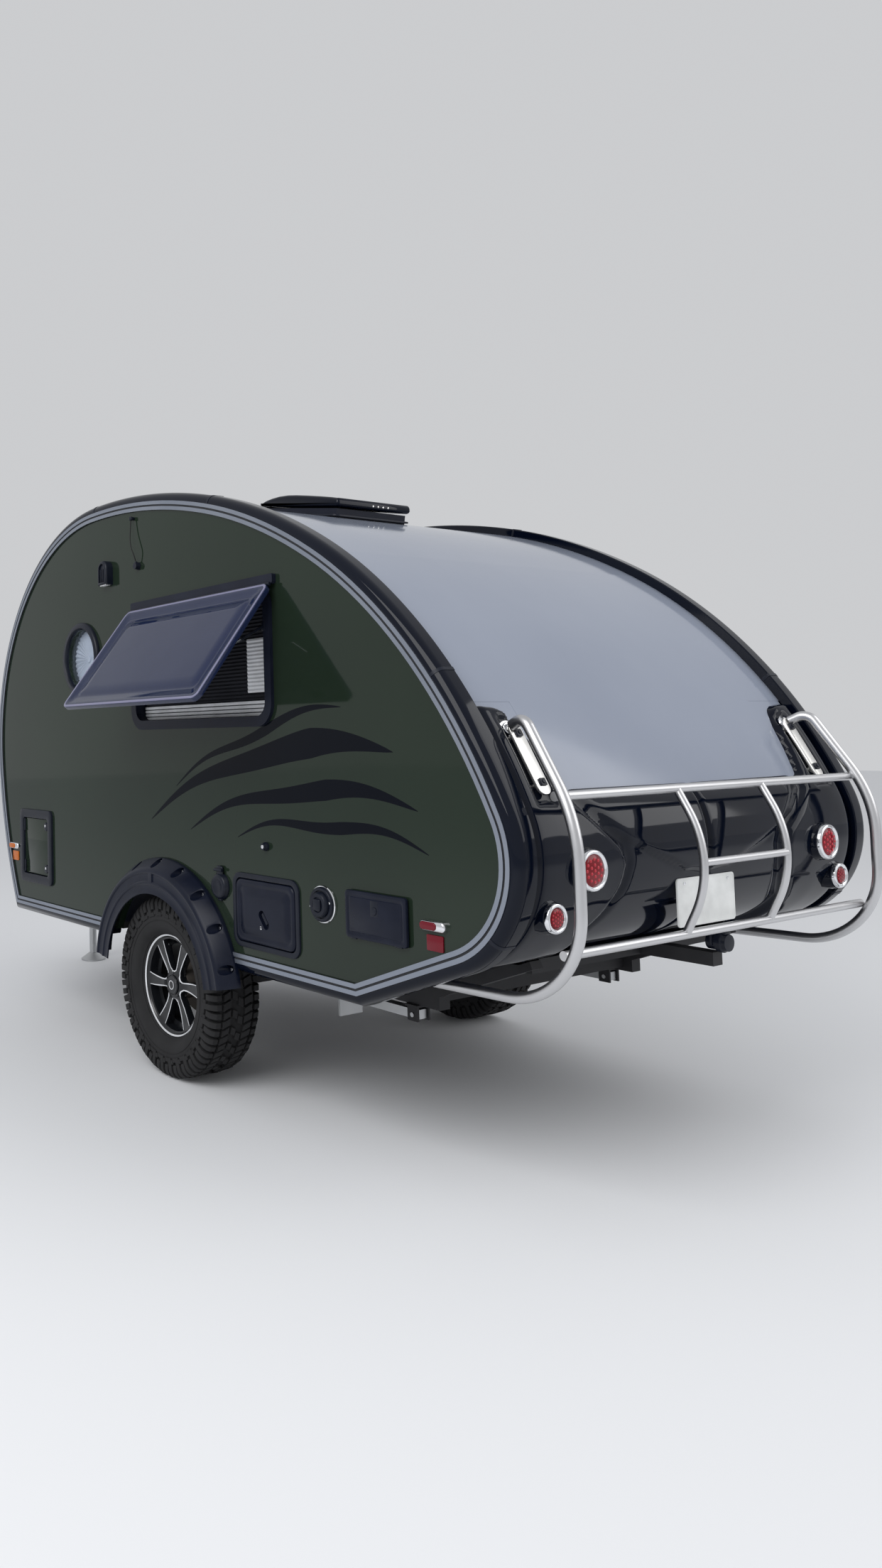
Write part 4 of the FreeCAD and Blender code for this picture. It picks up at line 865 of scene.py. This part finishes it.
barrels, bezels, lenses, beads = zip(tail_lamp(623, 985, 46, 54, [(1, 0), (6, 16.5), (12, 32.5)]),
                                     tail_lamp(750, 857, 30, 62, [(1, 0), (6, 10.5), (12, 20.5)]))
both("lamp_barrels", barrels, "lamp_red", finish="gloss_black")
both("lamp_bezels", bezels, "chrome", angle=50)
both("lamp_lenses", lenses, "lamp_red", "tail_lamps", angle=50)
both("lamp_beads", beads, "lamp_red", finish="lamp_bead", angle=50)
print("tail lamps", len(made), "pieces so far")

# %% Grips and flanges
grip_x, grip_z, grip_out_x, grip_out_z = outline_at(run_at(1296))


def on_grip(across, along, depth):
    return at(grip_x + grip_out_z * along + grip_out_x * depth, 726 + across,
              grip_z - grip_out_x * along + grip_out_z * depth)


bar = plate([rounded(0, 0, 52, 240, 24)], 22, 31, on_grip, 2.5)
feet = [drum(on_grip(0, along, 4), on_grip(0, along, 23), 14, sides=24) for along in (-82, 82)]
heads = [plate([rounded(0, along, 24, 24, 3, 2)], 30, 38, on_grip, 1.5) for along in (-82, 82)]
heads += [drum(on_grip(0, along, 37), on_grip(0, along, 41), 6.5, 1, 6) for along in (-82, 82)]
both("grips", [bar, *feet], "tube_silver", "grip_plates", finish="grip_silver")
both("grip_bolts", heads)
start = at(BACK_X + 182, 726, 1378)
toward = (at(BACK_X + 66, 755, 1432) - start).normalized() / 1000
both("hoop_flanges", [drum(start + toward * 34, start + toward * 43, 29, 2),
                      drum(start + toward * 42, start + toward * 54, 21, 3)], "tube_silver", finish="chrome")

# %% Blank plate and socket
blank = plate([rounded(0, 840, 305, 152, 12)], BACK_X + 12, BACK_X + 8, on_tail)
rim_line = plate([rounded(0, 840, 301, 148, 11), rounded(0, 840, 291, 138, 8)], BACK_X + 8.2, BACK_X + 6.8,
                 on_tail, 0.5)
fit("blank_plate", [blank, rim_line], "plate_blank", "number_plate")
fit("plate_screws", [peg(y, 900, BACK_X + 9, BACK_X + 5.5, 5.5, spot=on_tail) for y in (-115, 115)], "chrome")
socket = turned([(0, 0), (0, 26), (30, 27), (34, 33), (50, 33), (54, 29), (66, 27), (68, 0)],
                at(-1775, -55, 700), (-1, 0, 0), 40)
fit("tow_socket", [socket, block(at(-1838, -70, 726), at(-1822, -40, 740), 2),
                   block(at(-1800, -85, 690), at(-1790, -25, 735), 2)])
print("tail fittings done,", len(made), "pieces")

# %% [markdown]
# ## Side windows
# Each side has a top-hinged acrylic window that stands open on two stays. The pane is a moulded sheet
# with a raised step round its edge, drawn as one pressed plate: it is inset twice and the middle pushed
# back, as the mould does. It is built hanging down and then swung out on its hinge line with the rest.

# %% Sash
SWING, HINGE, STAYS = 38.5, at(0, 927, 1936), (-726.5, 194.5)
sash = pressed(-288, 1664, 1005, 528, 30, 917, [
    (932, 0), (935, 1), (936.5, 4), (936.5, 22), (932, 29), (932, 46), (929.5, 50), (929.5, 64),
    (934.5, 70), (935.2, 110)])
fittings = [pin(-288, 1930, 500, 0, 930, 7, 2, 16)]
fittings += [slab(x, 1442, 70, 20, 905, 918) for x in (-620, 44)]
fittings += [peg(x, 1636, 908, 918, 11, 2, 24) for x in STAYS]
fittings = joined(fittings)
# A thin ring over the pane's raised rim is painted pale lavender, a painted highlight for the sky reflected on the
# curved rim.
edge = plate([rounded(-288, 1664, 1002, 525, 29), rounded(-288, 1664, 982, 505, 20)], 934, 937.6, on_side, 1)
for part in (sash, edge, fittings):
    moved(part, degrees=SWING, axis="X", pivot=HINGE)
both("window_sash", sash, "tinted_pane", "window_sashes", angle=50)
both("sash_edge", edge, "tinted_pane", finish="sash_edge", angle=50)
both("sash_fittings", fittings)
print("sash", len(sash.data.polygons), "faces")

# %% Stays, pleated blinds and rails
rods, sleeves = [], []
for x in STAYS:
    low = on_side(x, 1786, 921)
    high = HINGE + Matrix.Rotation(math.radians(SWING), 4, "X") @ (on_side(x, 1636, 914) - HINGE)
    rods.append(drum(low, high, 3.2, sides=16))
    sleeves += [drum(low, low.lerp(high, 0.52), 4.8, 1, 16),
                drum(low.lerp(high, 0.50), low.lerp(high, 0.56), 6.6, 1, 16),
                block(low - mm(9, 14, 16), low + mm(9, 2, 16), 2)]
both("stay_rods", rods, "galvanised", "window_stays", finish="chrome")
both("stay_sleeves", sleeves, "galvanised", finish="bolt")


def pleats(low_x, high_x, low_z, high_z, depth, deep, pitch=14):
    """A sheet folded back and forth in even pleats, with a thickness."""
    count = 2 * round((high_z - low_z) / pitch)
    piece = pen([on_side(low_x, low_z + (high_z - low_z) * step / count, depth + deep * (step % 2))
                 for step in range(count + 1)])
    with editing(piece):
        push(high_x - low_x, 0, 0)
        closed_up()
    return modify(piece, "SOLIDIFY", thickness=0.0008, offset=0)


both("blind", pleats(-717.5, 185.5, 1520, 1912, 864, 6), "blind_fabric", "blinds", angle=5)
both("blind_patch", pleats(-700, -560, 1550, 1752, 872, 3), "blind_fabric", finish="white_plastic", angle=5)
both("blind_rails", [slab(-266, z, 903, 12, 853, 877) for z in (1468, 1483, 1498, 1513)], "blind_fabric",
     finish="white_plastic")
print("windows done,", len(made), "pieces")

# %% [markdown]
# ## Portholes
# Behind each round pane is a sunburst blind: a ring of pleats round a small button. One pleat is a thin
# wedge, and spinning duplicates of it makes the disc. The door's porthole is a copy of the left one.

# %% Portholes
PORT_X, PORT_Z, PLEATS, SMALL, LARGE = 700, 1762, 36, 12, 139
hub, half = on_side(PORT_X, PORT_Z, 866), math.pi / PLEATS
fold = [mm(math.sin(half) * size, 0, math.cos(half) * size) for size in (SMALL, LARGE)]
wedge = filled([hub + spot for spot in (mm(0, 7, LARGE), mm(0, 2, SMALL), *fold)])
with editing(wedge):
    bpy.ops.mesh.duplicate()
    bpy.ops.transform.resize(value=(-1, 1, 1), center_override=hub)
    bpy.ops.mesh.select_all(action="SELECT")
    around(PLEATS, hub)
    closed_up()
    facing(0, 1, 0)
modify(wedge, "SOLIDIFY", thickness=0.0012, offset=-1)
burst = joined([wedge, peg(PORT_X, PORT_Z, 864, 874, 14, 2, 32)])
glass = turned([(0, 0), (0, 142), (6, 142), (8, 139), (14, 85.2), (16, 0)], on_side(PORT_X, PORT_Z, 884))
seal = turned([(0, 142), (14, 142), (20, 147), (20, 165), (12, 172), (0, 172), (0, 142)],
              on_side(PORT_X, PORT_Z, 907), steps=72)
for part, piece, slot, left, right, shift, options in (
        ("blind", burst, "blind_fabric", [], [], 0, {"finish": "sunburst", "angle": 5}),
        ("glass", glass, "tinted_pane", ["porthole_pane"], ["door_porthole_pane"], 0,
         {"finish": "clear_pane", "angle": 50}),
        ("seal", seal, "matte_black", ["porthole_ring"], ["door_porthole_ring"], 6, {"angle": 50})):
    copy = moved(other_side(piece), mm(100, shift, 0))
    fit("porthole_" + part, piece, slot, *left, **options)
    fit("door_" + part, copy, slot, *right, body="door", **options)
print("porthole", len(burst.data.polygons), "faces")

# %% [markdown]
# ## Service doors
# Three hatches on the left side reach the locker, the toilet cassette and the outside shower. Each is a
# rounded frame with a moulded lid. The frames are plates with a hole, so that the lid can swing through
# them, and the cassette lid has a stepped border and a slanted pull cut into it.

# %% Locker
frames = [plate([rounded(1223, 847, 364, 370, 30), rounded(1223, 847, 278, 284, 16)], 900, 919, rounding=4),
          plate([rounded(-683, 744, 392, 274, 44), rounded(-683, 744, 352, 234, 28)], 900, 915, rounding=3)]
fit("service_frames", frames, "matte_black", "service_frames")
locker_lid = plate([rounded(1223, 847, 272, 278, 14)], 885, 909, rounding=2)
fit("locker_lid", locker_lid, "matte_black", "storage_door", body="locker_door", finish="side_panel")
ears = []
for z in (742, 952):
    ears += [peg(1110, z, 907, 915, 21, 3, 32), pin(1352, z, 0, 30, 912, 5, 1, 16)]
fit("locker_ears", ears, body="locker_door")
fit("locker_keyholes", [peg(1111, z, 914, 917.5, 6.5) for z in (746, 956)], body="locker_door",
    finish="chrome")

# %% Cassette and shower
PULL = -683, 722
lid = pressed(-683, 744, 346, 228, 30, 889, [
    (912, 0), (916, 2), (918.5, 7), (918.5, 18), (915, 22), (915, 28), (918.5, 33), (919.5, 60)])
pull, lever = (moved(piece, degrees=-52, axis="Y", pivot=on_side(*PULL, 0))
               for piece in (plate([rounded(*PULL, 74, 34, 16)], 905, 930),
                             slab(-679, 722, 48, 16, 904, 915, 4)))
fit("bay_lid", carved(lid, pull), "matte_black", "cassette_door", body="toilet_door", finish="flare",
    angle=40)
fit("bay_lever", lever, body="toilet_door")
fit("lock", peg(-664, 692, 912, 919.5, 7), "chrome", body="toilet_door")
cover = pressed(-1271, 805, 280, 154, 12, 913, [
    (920, 0), (923, 1.5), (924.5, 5), (924.5, 14), (923, 16), (923, 20), (924.8, 22)])
fit("shower_cover", cover, "matte_black", "shower_lid", body="shower_cover", finish="flare")
fit("shower_turn", [peg(-1271, 826, 922, 929, 13, 2, 32), slab(-1271, 833, 36, 50, 922, 925.5, 2)],
    body="shower_cover")
fit("shower_hinges", [pin(x, 729.5, 16, 0, 921, 3.8, 1, 16) for x in (-1375, -1167)], body="shower_cover")
print("bay lid", len(lid.data.polygons), "faces")

# %% [markdown]
# ## Filler, inlet, catch and gland
# These round fittings are turned on one lathe line each, about an axis that stands out of the wall.


# %% Round fittings
def lathe(x, z, rows, steps=56):
    return turned(rows, on_side(x, z, SKIN), steps=steps)


fit("wall_fittings", [
    lathe(-405, 815, [(0, 0), (0, 52), (6, 52), (10, 48), (16, 47), (21, 42), (22.5, 30), (20, 26), (20, 0)]),
    slab(-405, 874, 40, 38, 907, 921, 8, 3),
    pin(-405, 878, 25, 0, 922, 6, 1, 16),
    slab(-405, 768, 24, 16, 908, 920, 4),
    lathe(-1004, 816, [(0, 0), (0, 59), (12, 59), (16, 55), (16, 47), (12, 45), (12, 0)]),
    lathe(-1004, 816, [(10, 0), (10, 43), (24, 43), (29, 38), (29, 26), (26, 23), (26, 0)]),
    slab(-1004, 816, 36, 40, 930, 941, 5, 3),
    lathe(-695, 987, [(0, 0), (0, 16), (10, 16), (14, 13), (20, 12), (20, 0)], 40),
    lathe(167, 2131, [(0, 0), (0, 17), (6, 17), (16, 14), (22, 14), (22, 0)], 40),
    pin(167, 2144, 0, 6, 921, 6.5, 1, 20),
    pin(203, 2344, 0, 8, 922, 7, 1, 20),
    slab(203, 2344, 20, 12, 906, 924, 2)], "matte_black", "wall_fittings", angle=45)
fit("fitting_rings", [
    lathe(-1004, 816, [(0, 58), (0, 63.5), (4, 64), (7, 62), (7, 58), (0, 58)]), peg(-695, 987, 925, 928, 7),
    peg(-1053, 826, 922, 924.5, 4.2, 0.8, 16), peg(-955, 806, 922, 924.5, 4.2, 0.8, 16)], "chrome")

# %% [markdown]
# ## Marker lamps, reflectors and porch lamps
# A marker lamp is a chrome bullet with a lens let into its front. The porch lamp has an arched top over a
# louvred front, and its light comes out of the flat underside.


# %% Side lamps
def pill(x, z, length, height, near, far, ends, rim):
    """A slab whose ends and outer rim are bevelled by (size, segments)."""
    piece = slab(x, z, length, height, near, far, 0)
    with editing(piece):
        choose("EDGE", lambda edge: abs(edge.verts[0].co.y - edge.verts[1].co.y) > 0.01)
        bevel(*ends)
        choose("EDGE", lambda edge: all(corner.co.y > far / 1000 - 0.0005 for corner in edge.verts))
        bevel(*rim)
    return piece


def marker(x, z):
    lens = pill(x + 13, z, 66, 24, 915, 928.5, (11, 5), (3, 3))
    pad = plate([rounded(x, z - 52, 67, 48, 4)], SKIN, 911.5, rounding=1)
    return pill(x, z, 104, 32, 907, 925, (15.5, 6), (8, 4)), joined([lens, pad])


rear_bullet, rear_lens = marker(-1517, 812)
front_bullet, front_lens = marker(1476, 834)
both("marker_bodies", [rear_bullet, front_bullet], "chrome")
both("rear_marker_red", rear_lens, "side_lens", "side_lamps")
both("front_marker_red", front_lens, "side_lens", finish="amber_lens")


def porch_lamp(x, z):
    def arch(half, foot):
        turns = [math.pi * step / 16 for step in range(17)]
        return [[(x + half * math.cos(turn), z + 10 + half * math.sin(turn)) for turn in turns]
                + [(x - half, z - foot), (x + half, z - foot)]]

    shell = carved(plate(arch(40, 60), SKIN, 945, on_side, 10, 4), plate(arch(26, 48), 938, 960))
    return joined([shell] + [slab(x + across, z - 17, 6, 58, 936, 942.5, 1.5) for across in (-21, -9, 3, 15)])


left_porch, right_porch = porch_lamp(435, 2140), flipped(porch_lamp(800, 2168))
fit("porch_lamp", left_porch, "matte_black", "porch_lamps")
fit("porch_lamp", right_porch)
glow = slab(435, 2079, 56, 4, 914, 938, 1.5)
fit("right_glow", moved(other_side(glow), mm(365, 0, 28)), "plate_blank", finish="white_plastic")
fit("porch_glow", glow, "plate_blank", finish="white_plastic")
print("service side done,", len(made), "pieces")

# %% [markdown]
# ## Stripes
# The decoration is cut film: long sweeping bands that taper to a point, a few tenths of a millimetre
# proud of the paint. Each band follows a gentle wave and its width swells and closes again.


# %% Stripes
def sweep(start, end, bow, width, lean, steps=44):
    """A tapered band from start to end that bows upwards, widest at the share lean of its length."""
    low, high = [], []
    for step in range(steps + 1):
        share = step / steps
        x, z = (first + (last - first) * share for first, last in zip(start, end))
        z += bow * math.sin(math.pi * share) + 18 * math.sin(math.tau * share * 1.5)
        swell = share / lean if share < lean else (1 - share) / (1 - lean)
        half = 0.5 * width * swell ** 0.8 + 0.8
        low.append((x, z - half))
        high.append((x, z + half))
    return plate([low + high[::-1]], 906.8, 907.8)


bands = [sweep((100, 1045), (-1360, 1330), 130, 105, 0.72), sweep((-200, 1020), (-1460, 1150), 110, 70, 0.66),
         sweep((-520, 1010), (-1500, 1020), 75, 42, 0.60), sweep((-100, 1190), (-1120, 1480), 60, 40, 0.60)]
both("side_stripes", bands, "side_panel", finish="decal", angle=20)

# %% [markdown]
# ## Roof fan hood
# The fan hood is a low gloss shell, higher in front. Its side shape is drawn flat, extruded across the
# trailer and bevelled, on a spot that follows the slope of the roof.

# %% Fan hood
VENT_X = -60
_, vent_z, vent_out_x, vent_out_z = outline_at(run_over(VENT_X))
SLOPE = math.atan2(-vent_out_x, vent_out_z)


def on_roof(along, out, across):
    """A spot on the roof slope: forwards, out of the roof and across the trailer."""
    return at(VENT_X + along * math.cos(SLOPE) - out * math.sin(SLOPE), across,
              vent_z + along * math.sin(SLOPE) + out * math.cos(SLOPE))


hood = plate([[(-276, 37), (278, 37), (280, 43), (268, 53), (240, 64), (195, 75), (140, 84), (80, 88.5),
               (20, 88.5), (-60, 86), (-150, 82), (-225, 77.5), (-268, 73.5), (-279, 68), (-280, 48)]],
             -214, 214, on_roof)
with editing(hood):
    choose("EDGE", lambda edge: all(abs(corner.co.y) > 0.2139 for corner in edge.verts)
           and edge.calc_face_angle() > 1)
    bevel(14, 4)
fit("fan_hood", hood, "gloss_black", "vent_hood", body="vent_cover", angle=40)
dots = [drum(on_roof(-278.5, 53, y), on_roof(-281.2, 53, y), 4.2, 0.5, 16) for y in (12, -17, -46, -75)]
fit("hood_studs", dots, "gloss_black", body="vent_cover", finish="grip_silver")
fit("vent_screws", [drum(on_roof(x, 29, y), on_roof(x, 31.5, y), 5, 0.8, 12)
                    for x in (-240, 0, 240) for y in (-185, 185)])
fit("vent_seal", plate([rounded(0, 0, 560, 440, 30), rounded(0, 0, 512, 392, 10)], -4, 3.5,
                       lambda along, across, out: on_roof(along, out, across), 1.5))
print("fan hood slope", round(math.degrees(SLOPE), 1), "degrees")


# %% [markdown]
# ## Edge bands
# A rounded band covers the joint between each side and the roof. A small grid is laid out as a tube: one
# way it follows the band's section, the other way the outline and the straight sill under the cabin.
# Where two runs meet at an angle the outward direction is the mitre of both. Narrow clips hide the joints
# between the band's lengths.

# %% Edge bands
def band_section(grow=0.0):
    """The band's section as (across, out of the outline), a quarter round on the outside."""
    arc = [(881 + (32 + grow) * math.cos(turn), 3 + (32 + grow) * math.sin(turn))
           for turn in numpy.linspace(math.pi / 2, 0, 9)]
    return [(838 - grow, 0), (838 - grow, 31), (842 - grow, 35 + grow), *arc, (913 + grow, 0)]


def mitred(row):
    """The end row of a run, turned half way towards the sill."""
    x, z, out_x, out_z = row
    return x, z, out_x / (1 - out_z), -1.0


rows = OUTLINE[:, 1:]
rows = [mitred(rows[0]), *rows[6:-2:4], rows[-2], mitred(rows[-1]), mitred(rows[0])]
section = band_section() + band_section()[:1]
band = added("grid", x_subdivisions=len(section) - 1, y_subdivisions=len(rows) - 1, size=1)
for corner in band.data.vertices:
    across, out = section[round((corner.co.x + 0.5) * (len(section) - 1))]
    x, z, out_x, out_z = rows[round((corner.co.y + 0.5) * (len(rows) - 1))]
    corner.co = at(x + out_x * out, across, z + out_z * out)
with editing(band):
    closed_up()
carved(band, drum(at(0, 800, AXLE_Z), at(0, 950, AXLE_Z), FLARE_RADIUS, sides=96))
both("edge_band", band, "gloss_black", "edge_bands")
print("edge band", len(band.data.polygons), "faces")


# %% Edge-band clips
def clip(run):
    """A thin sleeve over the band, from its inner side over its round shoulder."""
    x, z, out_x, out_z = outline_at(run)
    return plate([band_section(1.4) + band_section(-2)[::-1]], -6, 6, lambda across, out, along: at(
        x + out_x * out + out_z * along, across, z + out_z * out - out_x * along))


both("band_clips", [clip(run) for run in (run_over(560), run_over(-370), run_at(1560), run_at(800))],
     "gloss_black", finish="bolt", angle=20)
print("roof done,", len(made), "pieces")

# %% [markdown]
# ## Entry door
# The door is on the right side. It gets a rubber seal round its edge, a paddle handle in a moulded bezel
# with a lock, and hinges with screws.


# %% Entry door fittings
def door_ring(outer, inner, near, far):
    """A rounded ring about the middle of the door."""
    return plate([rounded(800, 1345, *size, 8) for size in (outer, inner)], near, far, on_right, 1.5)


fit("door_seal_strip", door_ring((584, 1454, 82), (564, 1434, 72), SKIN, 910.5), body="door")
fit("door_trim", door_ring((648, 1518, 114), (604, 1474, 92), 912.5, 916), "trim_silver")
bezel = plate([rounded(590, 1240, 86, 132, 16)], SKIN, 918, on_right, 5, 3)
paddle = plate([rounded(584, 1252, 42, 86, 12)], 915, 934, on_right, 6, 3)
fit("door_handle", [bezel, paddle], "matte_black", "door_fittings", body="door")
keyway = block(on_right(588.5, 1186, 920.5), on_right(591.5, 1198, 922), 0)
fit("door_lock", [peg(590, 1192, 917, 921.5, 11, 1, 32, on_right), keyway], "chrome", body="door")
leaves, pins = [], []
for z in (865, 1825):
    leaves += [block(on_right(1046, z - 34, 911.5), on_right(1086, z + 34, SKIN), 1.5),
               pin(1096, z, 0, 34, 921, 6.2, 1, 24, spot=on_right)]
    leaves += [block(on_right(1076, tab - 10, 926), on_right(1094, tab + 10, 909), 2)
               for tab in (z - 22, z + 22)]
    pins += [peg(x, z + up, 911, 913.5, 4.2, 0.6, 12, on_right)
             for x, up in ((1056, -22), (1056, 22), (1070, 0))]
fit("door_leaves", leaves, body="door")
fit("door_screws", pins, "chrome", body="door")
print("door done,", len(made), "pieces")

# %% [markdown]
# ## Tongue
# The drawbar carries a gas bottle, a battery box, a jack and the coupler. The bottle gets a foot ring, a
# collar and a valve, the box gets a ribbed lid and a strap, and the jack gets its cap.

# %% Gas bottle
BOTTLE, UPWARDS = at(1791, 0, 540), (0, 0, 1)
shell = turned([(20, 0), (6, 118), (0, 121), (0, 124), (20, 126), (26, 142), (42, 149.5), (150, 150),
                (152, 151.2), (158, 151.2), (160, 150), (262, 149.5), (285, 140), (300, 118), (308, 80),
                (311, 30), (311, 0)], BOTTLE, UPWARDS)
collar = turned([(300, 86), (344, 92), (349, 94), (350, 98), (345, 100), (300, 94.5), (300, 86)],
                BOTTLE, UPWARDS, 48, sweep=math.radians(290), out=(1, 0, 0))
capped(collar)
fit("gas_bottle_shell", [shell, collar], "bottle_white", "gas_bottle")
fit("bottle_valve", [drum(BOTTLE + mm(0, 0, 308), BOTTLE + mm(0, 0, 338), 14, 2, 24),
                     drum(BOTTLE + mm(0, 0, 324), BOTTLE + mm(45, 0, 324), 11, 2, 24)], "galvanised")
strap = turned([(196, 149.5), (196, 153.5), (222, 153.5), (222, 149.5), (196, 149.5)], BOTTLE, UPWARDS)
hand_wheel = turned([(336, 4), (336, 20), (338, 24), (346, 24), (349, 20), (349, 0), (336, 0)],
                    BOTTLE, UPWARDS, 24)
fit("bottle_band", [strap, hand_wheel])

# %% Battery box, jack and coupler
low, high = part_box("battery_box")
rear, front = Vector((low.x, 0, high.z)), Vector((high.x, 0, high.z))
case = [block(low + mm(4, 4, 0), high - mm(4, 4, 52), 8, 3),
        block(Vector((low.x, low.y, high.z)) - mm(0, 0, 56), high - mm(0, 0, 4), 10, 3)]
case += [block(rear + mm(12, y - 4, -12), front + mm(-12, y + 4, 0), 2.5)
         for y in (-150, -110, -70, 70, 110, 150)]
fit("battery_case", case, "matte_black", "battery_box")
fit("battery_strap", block(Vector((low.x, 0, low.z)) - mm(3, 22, 0), front + mm(3, 22, 2), 4), finish="cable")
fit("battery_buckle", block(rear + mm(60, -30, 0), rear + mm(130, 30, 10), 4), "chrome")
jack_cap = turned([(-16, 0), (-16, 33.5), (-4, 33.5), (2, 28), (6, 10), (6, 0)], at(2330, 0, 0), UPWARDS, 40,
                  1000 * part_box("jack_tube")[1].z)
fit("jack_cap", jack_cap, "galvanised", finish="bolt")
low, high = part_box("coupler")
heel, nose = Vector((low.x, 0, low.z)), Vector((high.x, 0, high.z))
hardware = [block(nose + mm(-200, -13, -12), nose + mm(-80, 13, 6), 5, 3),
            drum(nose + mm(-120, -50, -60), nose + mm(-120, 50, -60), 6, 1, 16)]
hardware += [drum(heel + mm(x, side * 41, 50), heel + mm(x, side * 51, 50), 11, 1.5, 6)
             for x in (40, 110) for side in (-1, 1)]
fit("coupler_hardware", hardware, "cast", finish="galvanised")
print("tongue done,", len(made), "pieces")

# %% [markdown]
# ## Inside
# Little of the cabin shows through its window, so the inside is kept plain. The mattress is crowned, its
# sides bulge and its edge pulls in at a piped seam, because a hard slab would give it away. The galley
# gets a worktop and fronts.

# %% Mattress
low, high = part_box("mattress")
middle, half = (low + high) / 2, (high - low) / 2
mattress = added("grid", x_subdivisions=56, y_subdivisions=70, size=1)
for corner in mattress.data.vertices:
    across, along = 2 * corner.co.y, 2 * corner.co.x
    edge = (1 - abs(along) ** 10) * (1 - abs(across) ** 10)
    tuft = 0.5 + 0.5 * math.cos(math.tau * 3 * along) * math.cos(math.tau * 4 * across)
    corner.co = (middle.x + half.x * along, middle.y + half.y * across,
                 middle.z + 0.012 + (half.z - 0.020) * edge ** 0.35 + 0.005 * tuft * edge)
with editing(mattress):
    choose("EDGE", lambda edge: edge.is_boundary)
    for drop, size in ((0.030, 0.994), (0.030, 1.004), (middle.z - low.z - 0.048, 0.985)):
        bpy.ops.mesh.extrude_edges_move(TRANSFORM_OT_translate={"value": (0, 0, -drop)})
        bpy.ops.transform.resize(value=(size, size, 1), center_override=middle)
    bpy.ops.mesh.edge_face_add()
    closed_up()
fit("padded_mattress", mattress, "cushion", "mattress", angle=60)
print("mattress", len(mattress.data.polygons), "faces")

# %% Galley fronts
low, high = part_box("galley")
worktop = block(Vector((low.x, low.y, high.z)) - mm(12, 8, 0), high + mm(0, 8, 18), 4)
fit("galley_worktop", worktop, "board", finish="white_plastic")
fit("galley_fronts", [block(low + mm(-16, y, z), low + mm(-2, y + 428, z + tall), 4)
                      for y in (12, 460) for z, tall in ((60, 520), (600, 230))], "board")
fit("galley_knobs", [drum(low + mm(-15, y, z), low + mm(-34, y, z), 12, 3, 24)
                     for y in (226, 674) for z in (540, 715)], "chrome")

# %% [markdown]
# ## Lamp lead
# A thin lead hangs in a slack bow from the upper fitting near the roof to the lower one over the window.
# It is a smooth curve with a round section.

# %% Lamp lead
WAY = [(203, 922, 2336), (203, 925, 2296), (196, 933, 2248), (180, 936, 2206), (168, 929, 2176),
       (167, 922, 2150)]
line = bpy.data.curves.new("lamp_cord", "CURVE")
line.dimensions, line.bevel_depth, line.bevel_resolution = "3D", 0.0025, 4
strand = line.splines.new("NURBS")
strand.points.add(len(WAY) - 1)
for point, place in zip(strand.points, WAY):
    point.co = (*at(*place), 1.0)
strand.order_u, strand.use_endpoint_u, strand.resolution_u = 3, True, 12
cord_piece = bpy.data.objects.new("lamp_cord", line)
bpy.context.collection.objects.link(cord_piece)
line.materials.append(finishes["cable"])
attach(cord_piece, "trailer")
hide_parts("lamp_lead")
print("lamp lead fitted,", len(made) + 1, "pieces in all")

# %% [markdown]
# ## Studio
# A plain pale floor and backdrop, one large soft lamp over the camera's shoulder and a weaker one on the
# far side. The pale surroundings are what the gloss black and the olive paint reflect.

# %% Studio
PALE, FLOOR_SIZE, DAYLIGHT, LAMP_SIZE = (0.80, 0.81, 0.83), 60, 0.75, 5.0
bpy.ops.object.select_all(action="DESELECT")
bpy.ops.mesh.primitive_plane_add(size=FLOOR_SIZE, location=(0, 0, -0.001))
floor = bpy.context.object
floor.name = "studio_floor"
floor.data.materials.append(Finish("studio_floor", PALE, 0.85).material)
world = bpy.data.worlds.new("studio")
bpy.context.scene.world = world
world.use_nodes = True
world.node_tree.nodes["Background"].inputs["Color"].default_value = rgb(PALE)
world.node_tree.nodes["Background"].inputs["Strength"].default_value = DAYLIGHT


def lamp(name, place, watts):
    """A large square soft lamp that faces the trailer."""
    data = bpy.data.lights.new(name, "AREA")
    data.size, data.energy = LAMP_SIZE, watts
    light = bpy.data.objects.new(name, data)
    bpy.context.collection.objects.link(light)
    light.location = place
    light.rotation_euler = (Vector((0, 0, 1)) - Vector(place)).to_track_quat("-Z", "Y").to_euler()


lamp("key_lamp", (-2.5, 6.5, 6.0), 330)
lamp("fill_lamp", (-6.0, -3.5, 4.5), 150)
bpy.context.scene.view_settings.view_transform = "Standard"
